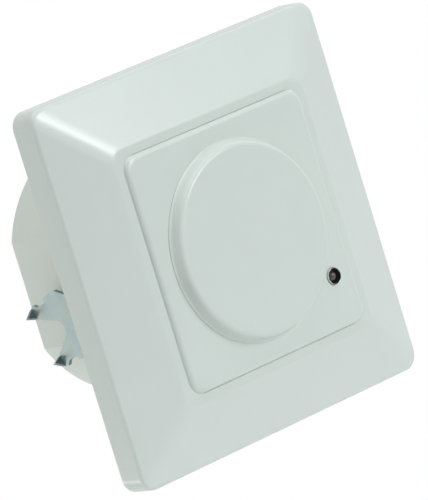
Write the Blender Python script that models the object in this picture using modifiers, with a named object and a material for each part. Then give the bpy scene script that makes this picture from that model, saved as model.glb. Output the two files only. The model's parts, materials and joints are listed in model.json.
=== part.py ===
"""Flush-mounted motion sensor switch: a square cover frame, a centre plate with a round cap, a sensor and
relay unit in a round rear housing, and two screw-driven claws that grip a wall box.

World frame, in metres: the origin is where the wall box's axis meets the wall, +X to the right as seen from
the room, +Y into the wall, +Z up. Each flat or turned piece is drawn facing the room: its own X and Y are
right and up along the wall, and its own Z, called "out" below, is the height in front of the wall.
"""

import math

import bmesh
import bpy
from mathutils import Matrix, Vector

MM = 0.001
GAP = 0.3 * MM
OVERLAP = 0.4 * MM
FACING_ROOM = (math.radians(90), 0.0, 0.0)
CORNER_STEPS = 5
ROUND_STEPS = 32
SMALL_STEPS = 16
SMOOTH_ANGLE = math.radians(35)
WELD = 0.001 * MM
TURN_MERGE = 0.01 * MM

# Cover frame
FRAME_HALF = 40.0 * MM
FRAME_CORNER = 3.3 * MM
FRAME_EDGE = 1.0 * MM
FRAME_SIDE = 6.4 * MM
FRAME_FRONT = 11.35 * MM
FRAME_WALL = 2.1 * MM
FRAME_INNER_CORNER = 3.4 * MM
LAND_HALF = 27.0 * MM
WINDOW_HALF = 25.35 * MM
WINDOW_LIP = 1.3 * MM
WINDOW_DEPTH = 3.5 * MM
FRAME_POST = (8.0 * MM, 1.3 * MM)
FRAME_POST_FOOT = 0.2 * MM
FRAME_POST_TOP = 6.6 * MM

# Centre plate and its round cap
PLATE_HALF = 25.05 * MM
PLATE_CORNER = 3.0 * MM
PLATE_FRONT = 12.2 * MM
PLATE_SKIRT = 5.5 * MM
PLATE_WALL = 1.5 * MM
PLATE_EDGE = 0.5 * MM
CAP_OPENING = 19.3 * MM
CAP_BASE = 20.7 * MM
CAP_TOP = 19.7 * MM
CAP_FRONT = 14.8 * MM
CAP_EDGE = 0.6 * MM
CAP_WALL = 1.5 * MM
CAP_SPIGOT = 19.0 * MM
CAP_SPIGOT_WALL = 1.2 * MM
CAP_SPIGOT_BACK = 9.5 * MM

# Light sensor beside the cap
EYE = (19.1 * MM, -14.1 * MM)
EYE_HOLE = 2.0 * MM
BEZEL_OUTER = 1.75 * MM
BEZEL_INNER = 1.35 * MM
BEZEL_BACK = 10.0 * MM
BEZEL_FRONT = 12.6 * MM
LENS_RADIUS = 1.1 * MM
LENS_FOOT = 1.5 * MM
LENS_FRONT = 11.9 * MM

# Front carrier, which closes the housing and holds the sensor board
CARRIER_HALF = 23.15 * MM
CARRIER_CORNER = 2.5 * MM
CARRIER_WALL = 1.5 * MM
CARRIER_BACK = 1.3 * MM
CARRIER_FRONT = 9.0 * MM
CARRIER_WINDOW = (20.0 * MM, 14.0 * MM)
CARRIER_LEDGE = (6.0 * MM, 2.6 * MM)

# Support ring of sheet steel, 71 mm square
RING_HALF = 35.5 * MM
RING_CORNER = 5.0 * MM
RING_THICKNESS = 1.0 * MM
RING_OPENING = 22.0 * MM
SLOT_RADIUS = 1.9 * MM
BOX_SLOT_HALF = 5.5 * MM
BOX_SCREW_PITCH = 60.0 * MM
CLAW_SLOT_HALF = 2.6 * MM
CORNER_HOLE = 1.6 * MM

# Rear housing
HOUSING_RADIUS = 27.5 * MM
HOUSING_FLAT = 25.0 * MM
HOUSING_DEPTH = 30.2 * MM
HOUSING_WALL = 1.8 * MM
HOUSING_EDGE = 0.6 * MM
HOUSING_STEPS = 14
BOSS_PLACE = 17.5 * MM
BOSS_RADIUS = 2.7 * MM
BOSS_DEPTH = 12.0 * MM
BOSS_HOLE = 1.7 * MM
BOARD_REST = (3.2 * MM, 2.0 * MM)
BOARD_REST_UP = 6.4 * MM

# Screws that hold carrier, ring and housing together
SCREW_CORNERS = (("upper_left", -1), ("lower_right", 1))
CARRIER_SCREW_HEAD = 2.4 * MM
CARRIER_SCREW_SHANK = 1.35 * MM
CARRIER_SCREW_TIP = -9.0 * MM
CARRIER_SCREW_HEAD_HEIGHT = 1.7 * MM
DRIVE_WIDTH = 0.7 * MM
DRIVE_DEPTH = 0.8 * MM

# Claws: a bent sheet with a foot for the screw and two toothed prongs
CLAW_SHEET = 1.0 * MM
CLAW_LEAN = math.radians(11.7)
CLAW_DROOP = math.radians(-18.2)
CLAW_HINGE = (25.93 * MM, 2.6 * MM, -1.7 * MM)
CLAW_ROOT_HALF = 4.5 * MM
CLAW_SHOULDER_START = 9.5 * MM
CLAW_LUG = (12.5 * MM, 15.4 * MM)
CLAW_HALF = 7.1 * MM
CLAW_NOTCH = (16.4 * MM, 18.1 * MM)
CLAW_NOTCH_HALF = 6.3 * MM
CLAW_PRONG_SHOULDER = 19.2 * MM
CLAW_LENGTH = 20.5 * MM
CLAW_TIP_OUTER = 6.8 * MM
CLAW_TIP_INNER = 4.35 * MM
CLAW_ARCH_BOTTOM = 14.7 * MM
CLAW_ARCH_RADIUS = 2.3 * MM
CLAW_ARCH_FLARE = math.radians(27)
CLAW_FOOT_ANGLE = math.radians(68)
CLAW_FOOT_LENGTH = 7.6 * MM
CLAW_FOOT_HOLE = 4.8 * MM
CLAW_FOOT_HOLE_RADIUS = 2.1 * MM
TOOTH_POINT = 5.3 * MM
TOOTH_LENGTH = 1.76 * MM
TOOTH_ANGLE = math.radians(75)
CLAW_SCREW_RADIUS = 1.45 * MM
CLAW_SCREW_HEAD = 2.8 * MM
CLAW_SCREW_HEAD_HEIGHT = 1.9 * MM
CLAW_SCREW_FRONT = 7.9 * MM
CLAW_SCREW_BACK = 4.4 * MM

# Sensor board with the radar module and three setting trimmers
SENSOR_BOARD_HALF = 21.2 * MM
SENSOR_BOARD_BACK = 5.2 * MM
SENSOR_BOARD_THICKNESS = 1.2 * MM
BOARD_CORNER = 1.5 * MM
SHIELD_SIZE = (22.0 * MM, 16.0 * MM, 2.6 * MM)
SHIELD_UP = 8.0 * MM
TRIMMERS = {"time": -11.0 * MM, "light": 0.0, "range": 11.0 * MM}
TRIMMER_UP = -9.0 * MM
TRIMMER_SIZE = (6.5 * MM, 6.5 * MM, 2.4 * MM)
TRIMMER_WELL = 2.6 * MM
TRIMMER_WELL_DEPTH = 1.0 * MM
KNOB_RADIUS = 2.3 * MM
KNOB_HEIGHT = 2.6 * MM
CHIP_SIZE = (8.0 * MM, 5.0 * MM, 1.4 * MM)
CHIP_UP = -8.0 * MM
HEADER_PLACE = (12.5 * MM, -10.5 * MM)
HEADER_PINS = 4
HEADER_PITCH = 2.54 * MM
HEADER_PIN = 0.64 * MM
HEADER_BAR = 2.5 * MM

# Main board and what stands on it, all sizes as width, height, depth
MAIN_BOARD_RADIUS = 24.9 * MM
MAIN_BOARD_FLAT = 22.6 * MM
MAIN_BOARD_FRONT = -15.5 * MM
MAIN_BOARD_THICKNESS = 1.6 * MM
RELAY = {"size": (19.0 * MM, 15.4 * MM, 12.6 * MM), "at": (-7.0 * MM, 5.5 * MM)}
FILM_CAPACITOR = {"size": (13.0 * MM, 6.0 * MM, 11.0 * MM), "at": (-9.0 * MM, -9.5 * MM)}
RECTIFIER = {"size": (8.0 * MM, 6.4 * MM, 3.4 * MM), "at": (4.0 * MM, 18.0 * MM)}
LARGE_CAPACITOR = {"radius": 5.0 * MM, "height": 12.0 * MM, "at": (11.0 * MM, 9.0 * MM)}
SMALL_CAPACITOR = {"radius": 3.15 * MM, "height": 11.0 * MM, "at": (12.5 * MM, -3.0 * MM)}
FUSE = {"radius": 4.2 * MM, "height": 8.0 * MM, "at": (2.6 * MM, -8.0 * MM)}
CHOKE = {"radius": 4.0 * MM, "height": 9.0 * MM, "at": (7.0 * MM, -18.0 * MM)}
VARISTOR = {"radius": 4.5 * MM, "thickness": 3.8 * MM, "at": (-8.0 * MM, -17.2 * MM)}
PART_EDGE = 0.4 * MM

# Terminal block: three rising-cage clamps, screws facing the rear, wires from below
TERMINAL_HALF = 11.7 * MM
TERMINAL_TOP = -12.0 * MM
TERMINAL_BOTTOM = -24.2 * MM
TERMINAL_FRONT = -17.4 * MM
TERMINAL_REAR = -29.9 * MM
TERMINAL_PITCH = 7.5 * MM
POLES = (-1, 0, 1)
CAVITY = {"half": 2.75 * MM, "low": -19.9 * MM, "high": -14.9 * MM, "back": -28.2 * MM, "front": -18.6 * MM}
WIRE_ENTRY = {"half": 1.6 * MM, "back": -22.8 * MM, "front": -20.2 * MM}
PIN_SLOT = {"half": 1.5 * MM, "high": -13.3 * MM, "back": -24.0 * MM}
SCREW_UP = -17.4 * MM
TERMINAL_SCREW_HOLE = 1.95 * MM
TERMINAL_SCREW_HEAD = 1.75 * MM
TERMINAL_SCREW_SHANK = 1.2 * MM
TERMINAL_SCREW_OUT = {"head": -29.6 * MM, "neck": -28.0 * MM, "tip": -24.0 * MM}
CAGE = {"half": 2.45 * MM, "low": -19.6 * MM, "high": -15.2 * MM, "back": -24.9 * MM, "front": -18.9 * MM}
CAGE_WINDOW = {"half": 1.65 * MM, "back": -23.9 * MM, "front": -20.1 * MM}
CAGE_THREAD = 1.4 * MM
PIN = {"half": 1.3 * MM, "low": -19.3 * MM, "high": -13.6 * MM, "thickness": 0.8 * MM, "back": -23.7 * MM}

WHITE = (0.80, 0.82, 0.80)
DARK = (0.03, 0.03, 0.03)


def clear_scene():
    for obj in list(bpy.data.objects):
        bpy.data.objects.remove(obj, do_unlink=True)


def new_collection(name):
    collection = bpy.data.collections.new(name)
    bpy.context.scene.collection.children.link(collection)
    return collection


clear_scene()
PARTS = new_collection("motion_sensor_switch")
CUTTERS = new_collection("cutters")


# Materials


def shaded(name, colour, roughness, metallic):
    material = bpy.data.materials.new(name)
    material.use_nodes = True
    shader = material.node_tree.nodes["Principled BSDF"]
    shader.inputs["Base Color"].default_value = (*colour, 1.0)
    shader.inputs["Roughness"].default_value = roughness
    shader.inputs["Metallic"].default_value = metallic
    return material


def plastic(name, colour, roughness=0.3):
    return shaded(name, colour, roughness, 0.0)


def metal(name, colour, roughness=0.35):
    return shaded(name, colour, roughness, 1.0)


# Shape helpers


def rounded_loop(half, radius, out, half_up=None):
    """A rounded rectangle about the axis, anticlockwise seen from the room, at one height in front."""
    half_up = half if half_up is None else half_up
    centres = ((1, 1, 0), (-1, 1, 90), (-1, -1, 180), (1, -1, 270))
    points = []
    for side, top, start in centres:
        for step in range(CORNER_STEPS + 1):
            angle = math.radians(start + 90 * step / CORNER_STEPS)
            x = side * (half - radius) + radius * math.cos(angle)
            y = top * (half_up - radius) + radius * math.sin(angle)
            points.append((x, y, out))
    return points


def flat_sided_loop(radius, flat, out):
    """A circle with a flat on the left and on the right."""
    reach = math.acos(flat / radius)
    points = []
    for start in (reach, math.pi + reach):
        for step in range(HOUSING_STEPS + 1):
            angle = start + (math.pi - 2 * reach) * step / HOUSING_STEPS
            points.append((radius * math.cos(angle), radius * math.sin(angle), out))
    return points


def lofted(loops, closed):
    """Skins loops of equal length in order. A closed loft joins the last to the first, an open one is capped."""
    mesh = bmesh.new()
    rings = [[mesh.verts.new(point) for point in loop] for loop in loops]
    pairs = list(zip(rings, rings[1:] + rings[:1])) if closed else list(zip(rings, rings[1:]))
    for lower, upper in pairs:
        for i in range(len(lower)):
            j = (i + 1) % len(lower)
            mesh.faces.new((lower[i], lower[j], upper[j], upper[i]))
    if not closed:
        mesh.faces.new(rings[0][::-1])
        mesh.faces.new(rings[-1])
    bmesh.ops.recalc_face_normals(mesh, faces=mesh.faces)
    return mesh


def block(low, high):
    """A box between two corners given as x, up, out."""
    mesh = bmesh.new()
    bmesh.ops.create_cube(mesh, size=1.0)
    size = [b - a for a, b in zip(low, high)]
    middle = [(a + b) / 2 for a, b in zip(low, high)]
    bmesh.ops.scale(mesh, vec=size, verts=mesh.verts)
    bmesh.ops.translate(mesh, vec=middle, verts=mesh.verts)
    return mesh


def round_bar(radius, low, high, at=(0.0, 0.0), steps=SMALL_STEPS):
    """A cylinder along the out direction between two heights."""
    mesh = bmesh.new()
    bmesh.ops.create_cone(mesh, cap_ends=True, segments=steps, radius1=radius, radius2=radius, depth=high - low)
    bmesh.ops.translate(mesh, vec=(at[0], at[1], (low + high) / 2), verts=mesh.verts)
    return mesh


def make_object(name, mesh, material=None):
    """Turns a bmesh into an object. One with no material is a cutter or a piece to be joined on."""
    data = bpy.data.meshes.new(name)
    mesh.to_mesh(data)
    mesh.free()
    obj = bpy.data.objects.new(name, data)
    obj.rotation_euler = FACING_ROOM
    if material is None:
        CUTTERS.objects.link(obj)
        obj.hide_render = True
        obj.display_type = "WIRE"
    else:
        PARTS.objects.link(obj)
        data.materials.append(material)
        data.shade_smooth()
        data.set_sharp_from_angle(angle=SMOOTH_ANGLE)
    return obj


def stand(obj, x, up, out):
    """Puts an object's own origin at a place given as right, up and out."""
    obj.location = (x, -out, up)
    return obj


def combine(obj, mesh, operation, name):
    helper = make_object(f"{obj.name}_{name}", mesh)
    helper.matrix_basis = obj.matrix_basis
    modifier = obj.modifiers.new(name, "BOOLEAN")
    modifier.operation = operation
    modifier.solver = "EXACT"
    modifier.object = helper
    return helper


def cut(obj, mesh, name):
    return combine(obj, mesh, "DIFFERENCE", name)


def join(obj, mesh, name):
    return combine(obj, mesh, "UNION", name)


def soften(obj, width, segments=2):
    modifier = obj.modifiers.new("edge", "BEVEL")
    modifier.width = width
    modifier.segments = segments
    modifier.limit_method = "ANGLE"
    return obj


def turned(name, profile, material, steps=ROUND_STEPS):
    """A body turned about its own Z, from a profile of radius and height that runs from top to bottom."""
    mesh = bmesh.new()
    verts = [mesh.verts.new((radius, 0.0, height)) for radius, height in profile]
    for first, second in zip(verts, verts[1:]):
        mesh.edges.new((first, second))
    obj = make_object(name, mesh, material)
    modifier = obj.modifiers.new("turn", "SCREW")
    modifier.steps = steps
    modifier.render_steps = steps
    modifier.use_merge_vertices = True
    modifier.merge_threshold = TURN_MERGE
    return obj


def arc(centre, radius, start, end, steps):
    """Points along an arc, angles in radians, both ends included."""
    points = []
    for step in range(steps + 1):
        angle = start + (end - start) * step / steps
        points.append((centre[0] + radius * math.cos(angle), centre[1] + radius * math.sin(angle)))
    return points


def slot_outline(centre, half, radius, upright):
    """A slot with round ends, given half the distance between the centres of its ends."""
    ends = [(half, -90, 90), (-half, 90, 270)]
    points = []
    for shift, start, end in ends:
        points += arc((shift, 0.0), radius, math.radians(start), math.radians(end), SMALL_STEPS // 2)
    if upright:
        points = [(-y, x) for x, y in points]
    return [(centre[0] + x, centre[1] + y) for x, y in points]


def circle_outline(centre, radius, steps=SMALL_STEPS):
    return arc(centre, radius, 0.0, 2 * math.pi * (steps - 1) / steps, steps - 1)


def sheet(outlines, thickness, back):
    """A flat sheet from a filled 2D curve: the first outline is its edge, the others are holes."""
    curve = bpy.data.curves.new("sheet", "CURVE")
    curve.dimensions = "2D"
    curve.fill_mode = "BOTH"
    curve.extrude = thickness / 2
    for outline in outlines:
        spline = curve.splines.new("POLY")
        spline.points.add(len(outline) - 1)
        spline.use_cyclic_u = True
        for point, (x, y) in zip(spline.points, outline):
            point.co = (x, y, 0.0, 1.0)
    holder = bpy.data.objects.new("sheet", curve)
    CUTTERS.objects.link(holder)
    graph = bpy.context.evaluated_depsgraph_get()
    flat = bpy.data.meshes.new_from_object(holder.evaluated_get(graph))
    mesh = bmesh.new()
    mesh.from_mesh(flat)
    bpy.data.objects.remove(holder, do_unlink=True)
    bpy.data.curves.remove(curve)
    bpy.data.meshes.remove(flat)
    bmesh.ops.remove_doubles(mesh, verts=mesh.verts, dist=WELD)
    bmesh.ops.recalc_face_normals(mesh, faces=mesh.faces)
    bmesh.ops.translate(mesh, vec=(0.0, 0.0, back + thickness / 2), verts=mesh.verts)
    return mesh


# Room side


def cover_frame():
    """The 80 mm frame: an upright rim, a broad sloping face and a flat land round its square window."""
    outer, window = FRAME_CORNER, FRAME_INNER_CORNER
    slope_start = FRAME_HALF - FRAME_EDGE * 0.6
    rim_inner = FRAME_HALF - FRAME_WALL
    profile = (
        (FRAME_HALF, outer, 0.0),
        (FRAME_HALF, outer, FRAME_SIDE - FRAME_EDGE),
        (FRAME_HALF - FRAME_EDGE * 0.15, outer, FRAME_SIDE - FRAME_EDGE * 0.5),
        (slope_start, outer, FRAME_SIDE - FRAME_EDGE * 0.05),
        (slope_start - FRAME_EDGE * 0.7, outer, FRAME_SIDE + FRAME_EDGE * 0.35),
        (LAND_HALF + FRAME_EDGE * 0.4, window, FRAME_FRONT - FRAME_EDGE * 0.15),
        (LAND_HALF - FRAME_EDGE * 0.3, window, FRAME_FRONT),
        (WINDOW_HALF + FRAME_EDGE * 0.2, window, FRAME_FRONT),
        (WINDOW_HALF, window, FRAME_FRONT - FRAME_EDGE * 0.2),
        (WINDOW_HALF, window, FRAME_FRONT - WINDOW_DEPTH),
        (WINDOW_HALF + WINDOW_LIP, window, FRAME_FRONT - WINDOW_DEPTH),
        (WINDOW_HALF + WINDOW_LIP, window, FRAME_FRONT - FRAME_WALL),
        (rim_inner, outer - FRAME_WALL / 2, FRAME_SIDE - FRAME_WALL / 2),
        (rim_inner, outer - FRAME_WALL / 2, 0.0),
    )
    loops = [rounded_loop(half, corner, out) for half, corner, out in profile]
    obj = make_object("cover_frame", lofted(loops, closed=True), plastic("cover_frame", WHITE, 0.22))
    length, thickness = FRAME_POST
    near = RING_HALF + GAP
    for name, side in (("left", -1), ("right", 1)):
        ends = sorted((side * near, side * (near + thickness)))
        low = (ends[0], -length / 2, FRAME_POST_FOOT)
        join(obj, block(low, (ends[1], length / 2, FRAME_POST_TOP)), f"{name}_post")
    for name, side in (("bottom", -1), ("top", 1)):
        ends = sorted((side * near, side * (near + thickness)))
        low = (-length / 2, ends[0], FRAME_POST_FOOT)
        join(obj, block(low, (length / 2, ends[1], FRAME_POST_TOP)), f"{name}_post")
    return obj


def centre_plate():
    """The 50 mm plate with its skirt, the round opening under the cap and the hole for the light sensor."""
    inner = PLATE_HALF - PLATE_WALL
    profile = (
        (inner, PLATE_CORNER - PLATE_WALL / 2, PLATE_FRONT - PLATE_WALL),
        (inner, PLATE_CORNER - PLATE_WALL / 2, PLATE_SKIRT),
        (PLATE_HALF, PLATE_CORNER, PLATE_SKIRT),
        (PLATE_HALF, PLATE_CORNER, PLATE_FRONT - PLATE_EDGE),
        (PLATE_HALF - PLATE_EDGE * 0.3, PLATE_CORNER, PLATE_FRONT - PLATE_EDGE * 0.3),
        (PLATE_HALF - PLATE_EDGE, PLATE_CORNER, PLATE_FRONT),
    )
    loops = [rounded_loop(half, corner, out) for half, corner, out in profile]
    obj = make_object("centre_plate", lofted(loops, closed=False), plastic("centre_plate", WHITE, 0.25))
    back, front = PLATE_SKIRT, PLATE_FRONT + PLATE_WALL
    cut(obj, round_bar(CAP_OPENING, back, front, steps=ROUND_STEPS), "cap_opening")
    cut(obj, round_bar(EYE_HOLE, back, front, at=EYE), "eye_hole")
    return obj


def round_cap():
    """The round cap over the setting trimmers, with the spigot that plugs into the centre plate."""
    inner = CAP_SPIGOT - CAP_SPIGOT_WALL
    base = PLATE_FRONT + GAP
    profile = (
        (0.0, CAP_FRONT),
        (CAP_TOP - CAP_EDGE, CAP_FRONT),
        (CAP_TOP - CAP_EDGE * 0.3, CAP_FRONT - CAP_EDGE * 0.2),
        (CAP_TOP, CAP_FRONT - CAP_EDGE * 0.7),
        (CAP_BASE, base),
        (CAP_SPIGOT, base),
        (CAP_SPIGOT, CAP_SPIGOT_BACK),
        (inner, CAP_SPIGOT_BACK),
        (inner, CAP_FRONT - CAP_WALL),
        (0.0, CAP_FRONT - CAP_WALL),
    )
    return turned("round_cap", profile, plastic("round_cap", WHITE, 0.28), steps=ROUND_STEPS * 3 // 2)


def sensor_bezel():
    """The bright sleeve in the centre plate's sensor hole."""
    lip = (BEZEL_OUTER - BEZEL_INNER) / 4
    profile = (
        (BEZEL_INNER, BEZEL_FRONT - lip),
        (BEZEL_INNER + lip, BEZEL_FRONT),
        (BEZEL_OUTER - lip, BEZEL_FRONT),
        (BEZEL_OUTER, BEZEL_FRONT - lip),
        (BEZEL_OUTER, BEZEL_BACK),
        (BEZEL_INNER, BEZEL_BACK),
        (BEZEL_INNER, BEZEL_FRONT - lip),
    )
    obj = turned("sensor_bezel", profile, metal("sensor_bezel", (0.8, 0.8, 0.8), 0.15), steps=SMALL_STEPS)
    return stand(obj, *EYE, 0.0)


def light_sensor():
    """The domed light sensor that stands on the sensor board behind the bezel."""
    foot = SENSOR_BOARD_BACK + SENSOR_BOARD_THICKNESS + GAP
    dome = [(r, LENS_FRONT - LENS_RADIUS + z) for r, z in arc((0.0, 0.0), LENS_RADIUS, math.pi / 2, 0.0, 5)]
    profile = [(0.0, LENS_FRONT), *dome[1:], (LENS_RADIUS, foot + LENS_RADIUS)]
    profile += [(LENS_FOOT, foot + LENS_RADIUS), (LENS_FOOT, foot), (0.0, foot)]
    obj = turned("light_sensor", profile, plastic("light_sensor", (0.12, 0.09, 0.07), 0.1), SMALL_STEPS)
    return stand(obj, *EYE, 0.0)


# Structure


def front_carrier():
    """The shallow tray that closes the housing: the plate's skirt slides over it and the board lies in it."""
    inner, floor = CARRIER_HALF - CARRIER_WALL, CARRIER_BACK + CARRIER_WALL
    profile = (
        (CARRIER_HALF, CARRIER_CORNER, CARRIER_BACK),
        (CARRIER_HALF, CARRIER_CORNER, CARRIER_FRONT),
        (inner, CARRIER_CORNER - CARRIER_WALL / 2, CARRIER_FRONT),
        (inner, CARRIER_CORNER - CARRIER_WALL / 2, floor),
    )
    loops = [rounded_loop(half, corner, out) for half, corner, out in profile]
    obj = make_object("front_carrier", lofted(loops, closed=False), plastic("front_carrier", WHITE, 0.4))
    half, half_up = CARRIER_WINDOW
    cut(obj, block((-half, -half_up, 0.0), (half, half_up, floor + CARRIER_WALL)), "window")
    for name, side in SCREW_CORNERS:
        place = (side * BOSS_PLACE, -side * BOSS_PLACE)
        cut(obj, round_bar(BOSS_HOLE, 0.0, floor + CARRIER_WALL, at=place), f"{name}_screw_hole")
    length, depth = CARRIER_LEDGE
    top, wall = SENSOR_BOARD_BACK - GAP, inner + OVERLAP
    base = CARRIER_BACK + OVERLAP
    for name, side in (("left", -1), ("right", 1)):
        ends = sorted((side * (inner - depth / 2), side * wall))
        low = (ends[0], -length / 2, base)
        join(obj, block(low, (ends[1], length / 2, top)), f"{name}_ledge")
    for name, side in (("bottom", -1), ("top", 1)):
        ends = sorted((side * (inner - depth), side * wall))
        low = (-length / 2, ends[0], base)
        join(obj, block(low, (length / 2, ends[1], top)), f"{name}_ledge")
    return obj


def support_ring():
    """The sheet steel ring with slots for the box screws on a 60 mm pitch and for the claw screws."""
    edge = [(x, y) for x, y, _ in rounded_loop(RING_HALF, RING_CORNER, 0.0)]
    outlines = [edge, circle_outline((0.0, 0.0), RING_OPENING, ROUND_STEPS)]
    box_slot = BOX_SCREW_PITCH / 2
    for side in (-1, 1):
        outlines.append(slot_outline((0.0, side * box_slot), BOX_SLOT_HALF, SLOT_RADIUS, upright=False))
        claw_x = side * claw_screw_point()[0]
        outlines.append(slot_outline((claw_x, 0.0), CLAW_SLOT_HALF, SLOT_RADIUS, upright=True))
        outlines.append(circle_outline((side * BOSS_PLACE, -side * BOSS_PLACE), BOSS_HOLE))
        for top in (-1, 1):
            outlines.append(circle_outline((side * box_slot, top * box_slot), CORNER_HOLE))
    mesh = sheet(outlines, RING_THICKNESS, 0.0)
    return make_object("support_ring", mesh, metal("support_ring", (0.62, 0.66, 0.68), 0.35))


def rear_housing():
    """The round cup with two flats for the claws, screw bosses, board rests and the terminal opening."""
    wall, rear = HOUSING_WALL, -HOUSING_DEPTH
    profile = (
        (0.0, -GAP),
        (0.0, rear + HOUSING_EDGE),
        (HOUSING_EDGE * 0.3, rear + HOUSING_EDGE * 0.3),
        (HOUSING_EDGE, rear),
    )
    loops = [flat_sided_loop(HOUSING_RADIUS - wall, HOUSING_FLAT - wall, rear + wall)]
    loops += [flat_sided_loop(HOUSING_RADIUS - wall, HOUSING_FLAT - wall, -GAP)]
    loops += [flat_sided_loop(HOUSING_RADIUS - step, HOUSING_FLAT - step, out) for step, out in profile]
    obj = make_object("rear_housing", lofted(loops, closed=False), plastic("rear_housing", WHITE, 0.4))
    for name, side in SCREW_CORNERS:
        place = (side * BOSS_PLACE, -side * BOSS_PLACE)
        join(obj, round_bar(BOSS_RADIUS, -BOSS_DEPTH, -GAP, at=place), f"{name}_boss")
        cut(obj, round_bar(BOSS_HOLE, CARRIER_SCREW_TIP - wall / 2, wall, at=place), f"{name}_boss_hole")
    reach, width = BOARD_REST
    top = MAIN_BOARD_FRONT - MAIN_BOARD_THICKNESS - GAP
    inner = HOUSING_FLAT - wall
    for name, side in (("left", -1), ("right", 1)):
        ends = sorted((side * (inner - reach), side * (inner + OVERLAP)))
        for row, up in (("low", -1), ("high", 1)):
            middle = up * BOARD_REST_UP
            low = (ends[0], middle - width / 2, rear + OVERLAP)
            join(obj, block(low, (ends[1], middle + width / 2, top)), f"{name}_{row}_rest")
    half = TERMINAL_HALF + GAP
    low = (-half, -HOUSING_RADIUS - wall, rear - wall)
    cut(obj, block(low, (half, TERMINAL_TOP + GAP, TERMINAL_FRONT + GAP)), "terminal_opening")
    return obj


def pan_head(radius, height, base, shank, tip):
    """A screw's profile: a pan head with a rounded rim over a plain shank with a pointed tip."""
    return (
        (0.0, base + height),
        (radius * 0.7, base + height),
        (radius, base + height * 0.6),
        (radius, base),
        (shank, base),
        (shank, tip + shank * 0.6),
        (shank * 0.6, tip),
        (0.0, tip),
    )


def cross_drive(obj, top):
    """Cuts a cross recess into a screw's head, in the screw's own frame."""
    reach = CARRIER_SCREW_HEAD * 0.55
    half = DRIVE_WIDTH / 2
    base = top - DRIVE_DEPTH
    mesh = block((-reach, -half, base), (reach, half, top + DRIVE_DEPTH))
    upright = block((-half, -reach, base), (half, reach, top + DRIVE_DEPTH))
    cut(obj, mesh, "drive_across")
    cut(obj, upright, "drive_upright")


def carrier_screw(corner, side):
    base = CARRIER_BACK + CARRIER_WALL + GAP
    height = CARRIER_SCREW_HEAD_HEIGHT
    profile = pan_head(CARRIER_SCREW_HEAD, height, base, CARRIER_SCREW_SHANK, CARRIER_SCREW_TIP)
    steel = metal(f"carrier_screw_{corner}", (0.6, 0.62, 0.62), 0.3)
    obj = turned(f"carrier_screw_{corner}", profile, steel, SMALL_STEPS)
    stand(obj, side * BOSS_PLACE, -side * BOSS_PLACE, 0.0)
    cross_drive(obj, base + height)
    return obj


# Claws


def claw_axes(side):
    """The claw's own directions: across, along and outward, for the left claw (-1) or the right one (1)."""
    away = Vector((side * math.sin(CLAW_LEAN), math.cos(CLAW_LEAN), 0.0))
    up = Vector((0.0, 0.0, 1.0))
    along = math.cos(CLAW_DROOP) * away + math.sin(CLAW_DROOP) * up
    across = -math.sin(CLAW_DROOP) * away + math.cos(CLAW_DROOP) * up
    across *= -side
    return across, along, across.cross(along)


def claw_hinge(side):
    x, y, z = CLAW_HINGE
    return Vector((side * x, y, z))


def claw_screw_direction():
    """The screw droops with the claw that hangs on it, and stays square to the world's X."""
    return Vector((0.0, math.cos(CLAW_DROOP), math.sin(CLAW_DROOP)))


def claw_screw_point(side=1):
    """The middle of the foot's screw hole."""
    _, along, outward = claw_axes(side)
    foot = math.cos(CLAW_FOOT_ANGLE) * along + math.sin(CLAW_FOOT_ANGLE) * outward
    return claw_hinge(side) + CLAW_FOOT_HOLE * foot


def claw_outline():
    """The flat of the claw, in across and along: a narrow root, a lug on each side and two prongs."""
    half = [
        (CLAW_ROOT_HALF, 0.0),
        (CLAW_ROOT_HALF, CLAW_SHOULDER_START),
        (CLAW_HALF, CLAW_LUG[0]),
        (CLAW_HALF, CLAW_LUG[1]),
        (CLAW_NOTCH_HALF, CLAW_NOTCH[0]),
        (CLAW_NOTCH_HALF, CLAW_NOTCH[1]),
        (CLAW_HALF, CLAW_PRONG_SHOULDER),
        (CLAW_TIP_OUTER, CLAW_LENGTH),
        (CLAW_TIP_INNER, CLAW_LENGTH),
    ]
    centre = (0.0, CLAW_ARCH_BOTTOM + CLAW_ARCH_RADIUS)
    arch = arc(centre, CLAW_ARCH_RADIUS, -CLAW_ARCH_FLARE, -math.pi + CLAW_ARCH_FLARE, SMALL_STEPS // 2)
    return half + arch + [(-x, y) for x, y in reversed(half)]


def bent_tab(half_low, half_high, length, angle, root, point):
    """A tab that leaves the sheet along its edge at a bend: a rectangle, or a tooth that ends in a point.

    It spans half_low to half_high across, starts at the distance root along the claw, and leaves it at
    the given angle from the claw's own direction towards its outer face.
    """
    direction = Vector((0.0, math.cos(angle), math.sin(angle)))
    normal = Vector((0.0, -math.sin(angle), math.cos(angle)))
    start = Vector((0.0, root, CLAW_SHEET / 2)) - OVERLAP * direction
    ends = (half_low, half_high) if point is None else (point - OVERLAP / 4, point + OVERLAP / 4)
    loops = []
    for distance, (low, high) in ((0.0, (half_low, half_high)), (length + OVERLAP, ends)):
        centre = start + distance * direction
        corners = ((low, -1), (high, -1), (high, 1), (low, 1))
        loops.append([centre + Vector((x, 0, 0)) + k * CLAW_SHEET / 2 * normal for x, k in corners])
    return lofted(loops, closed=False)


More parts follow.
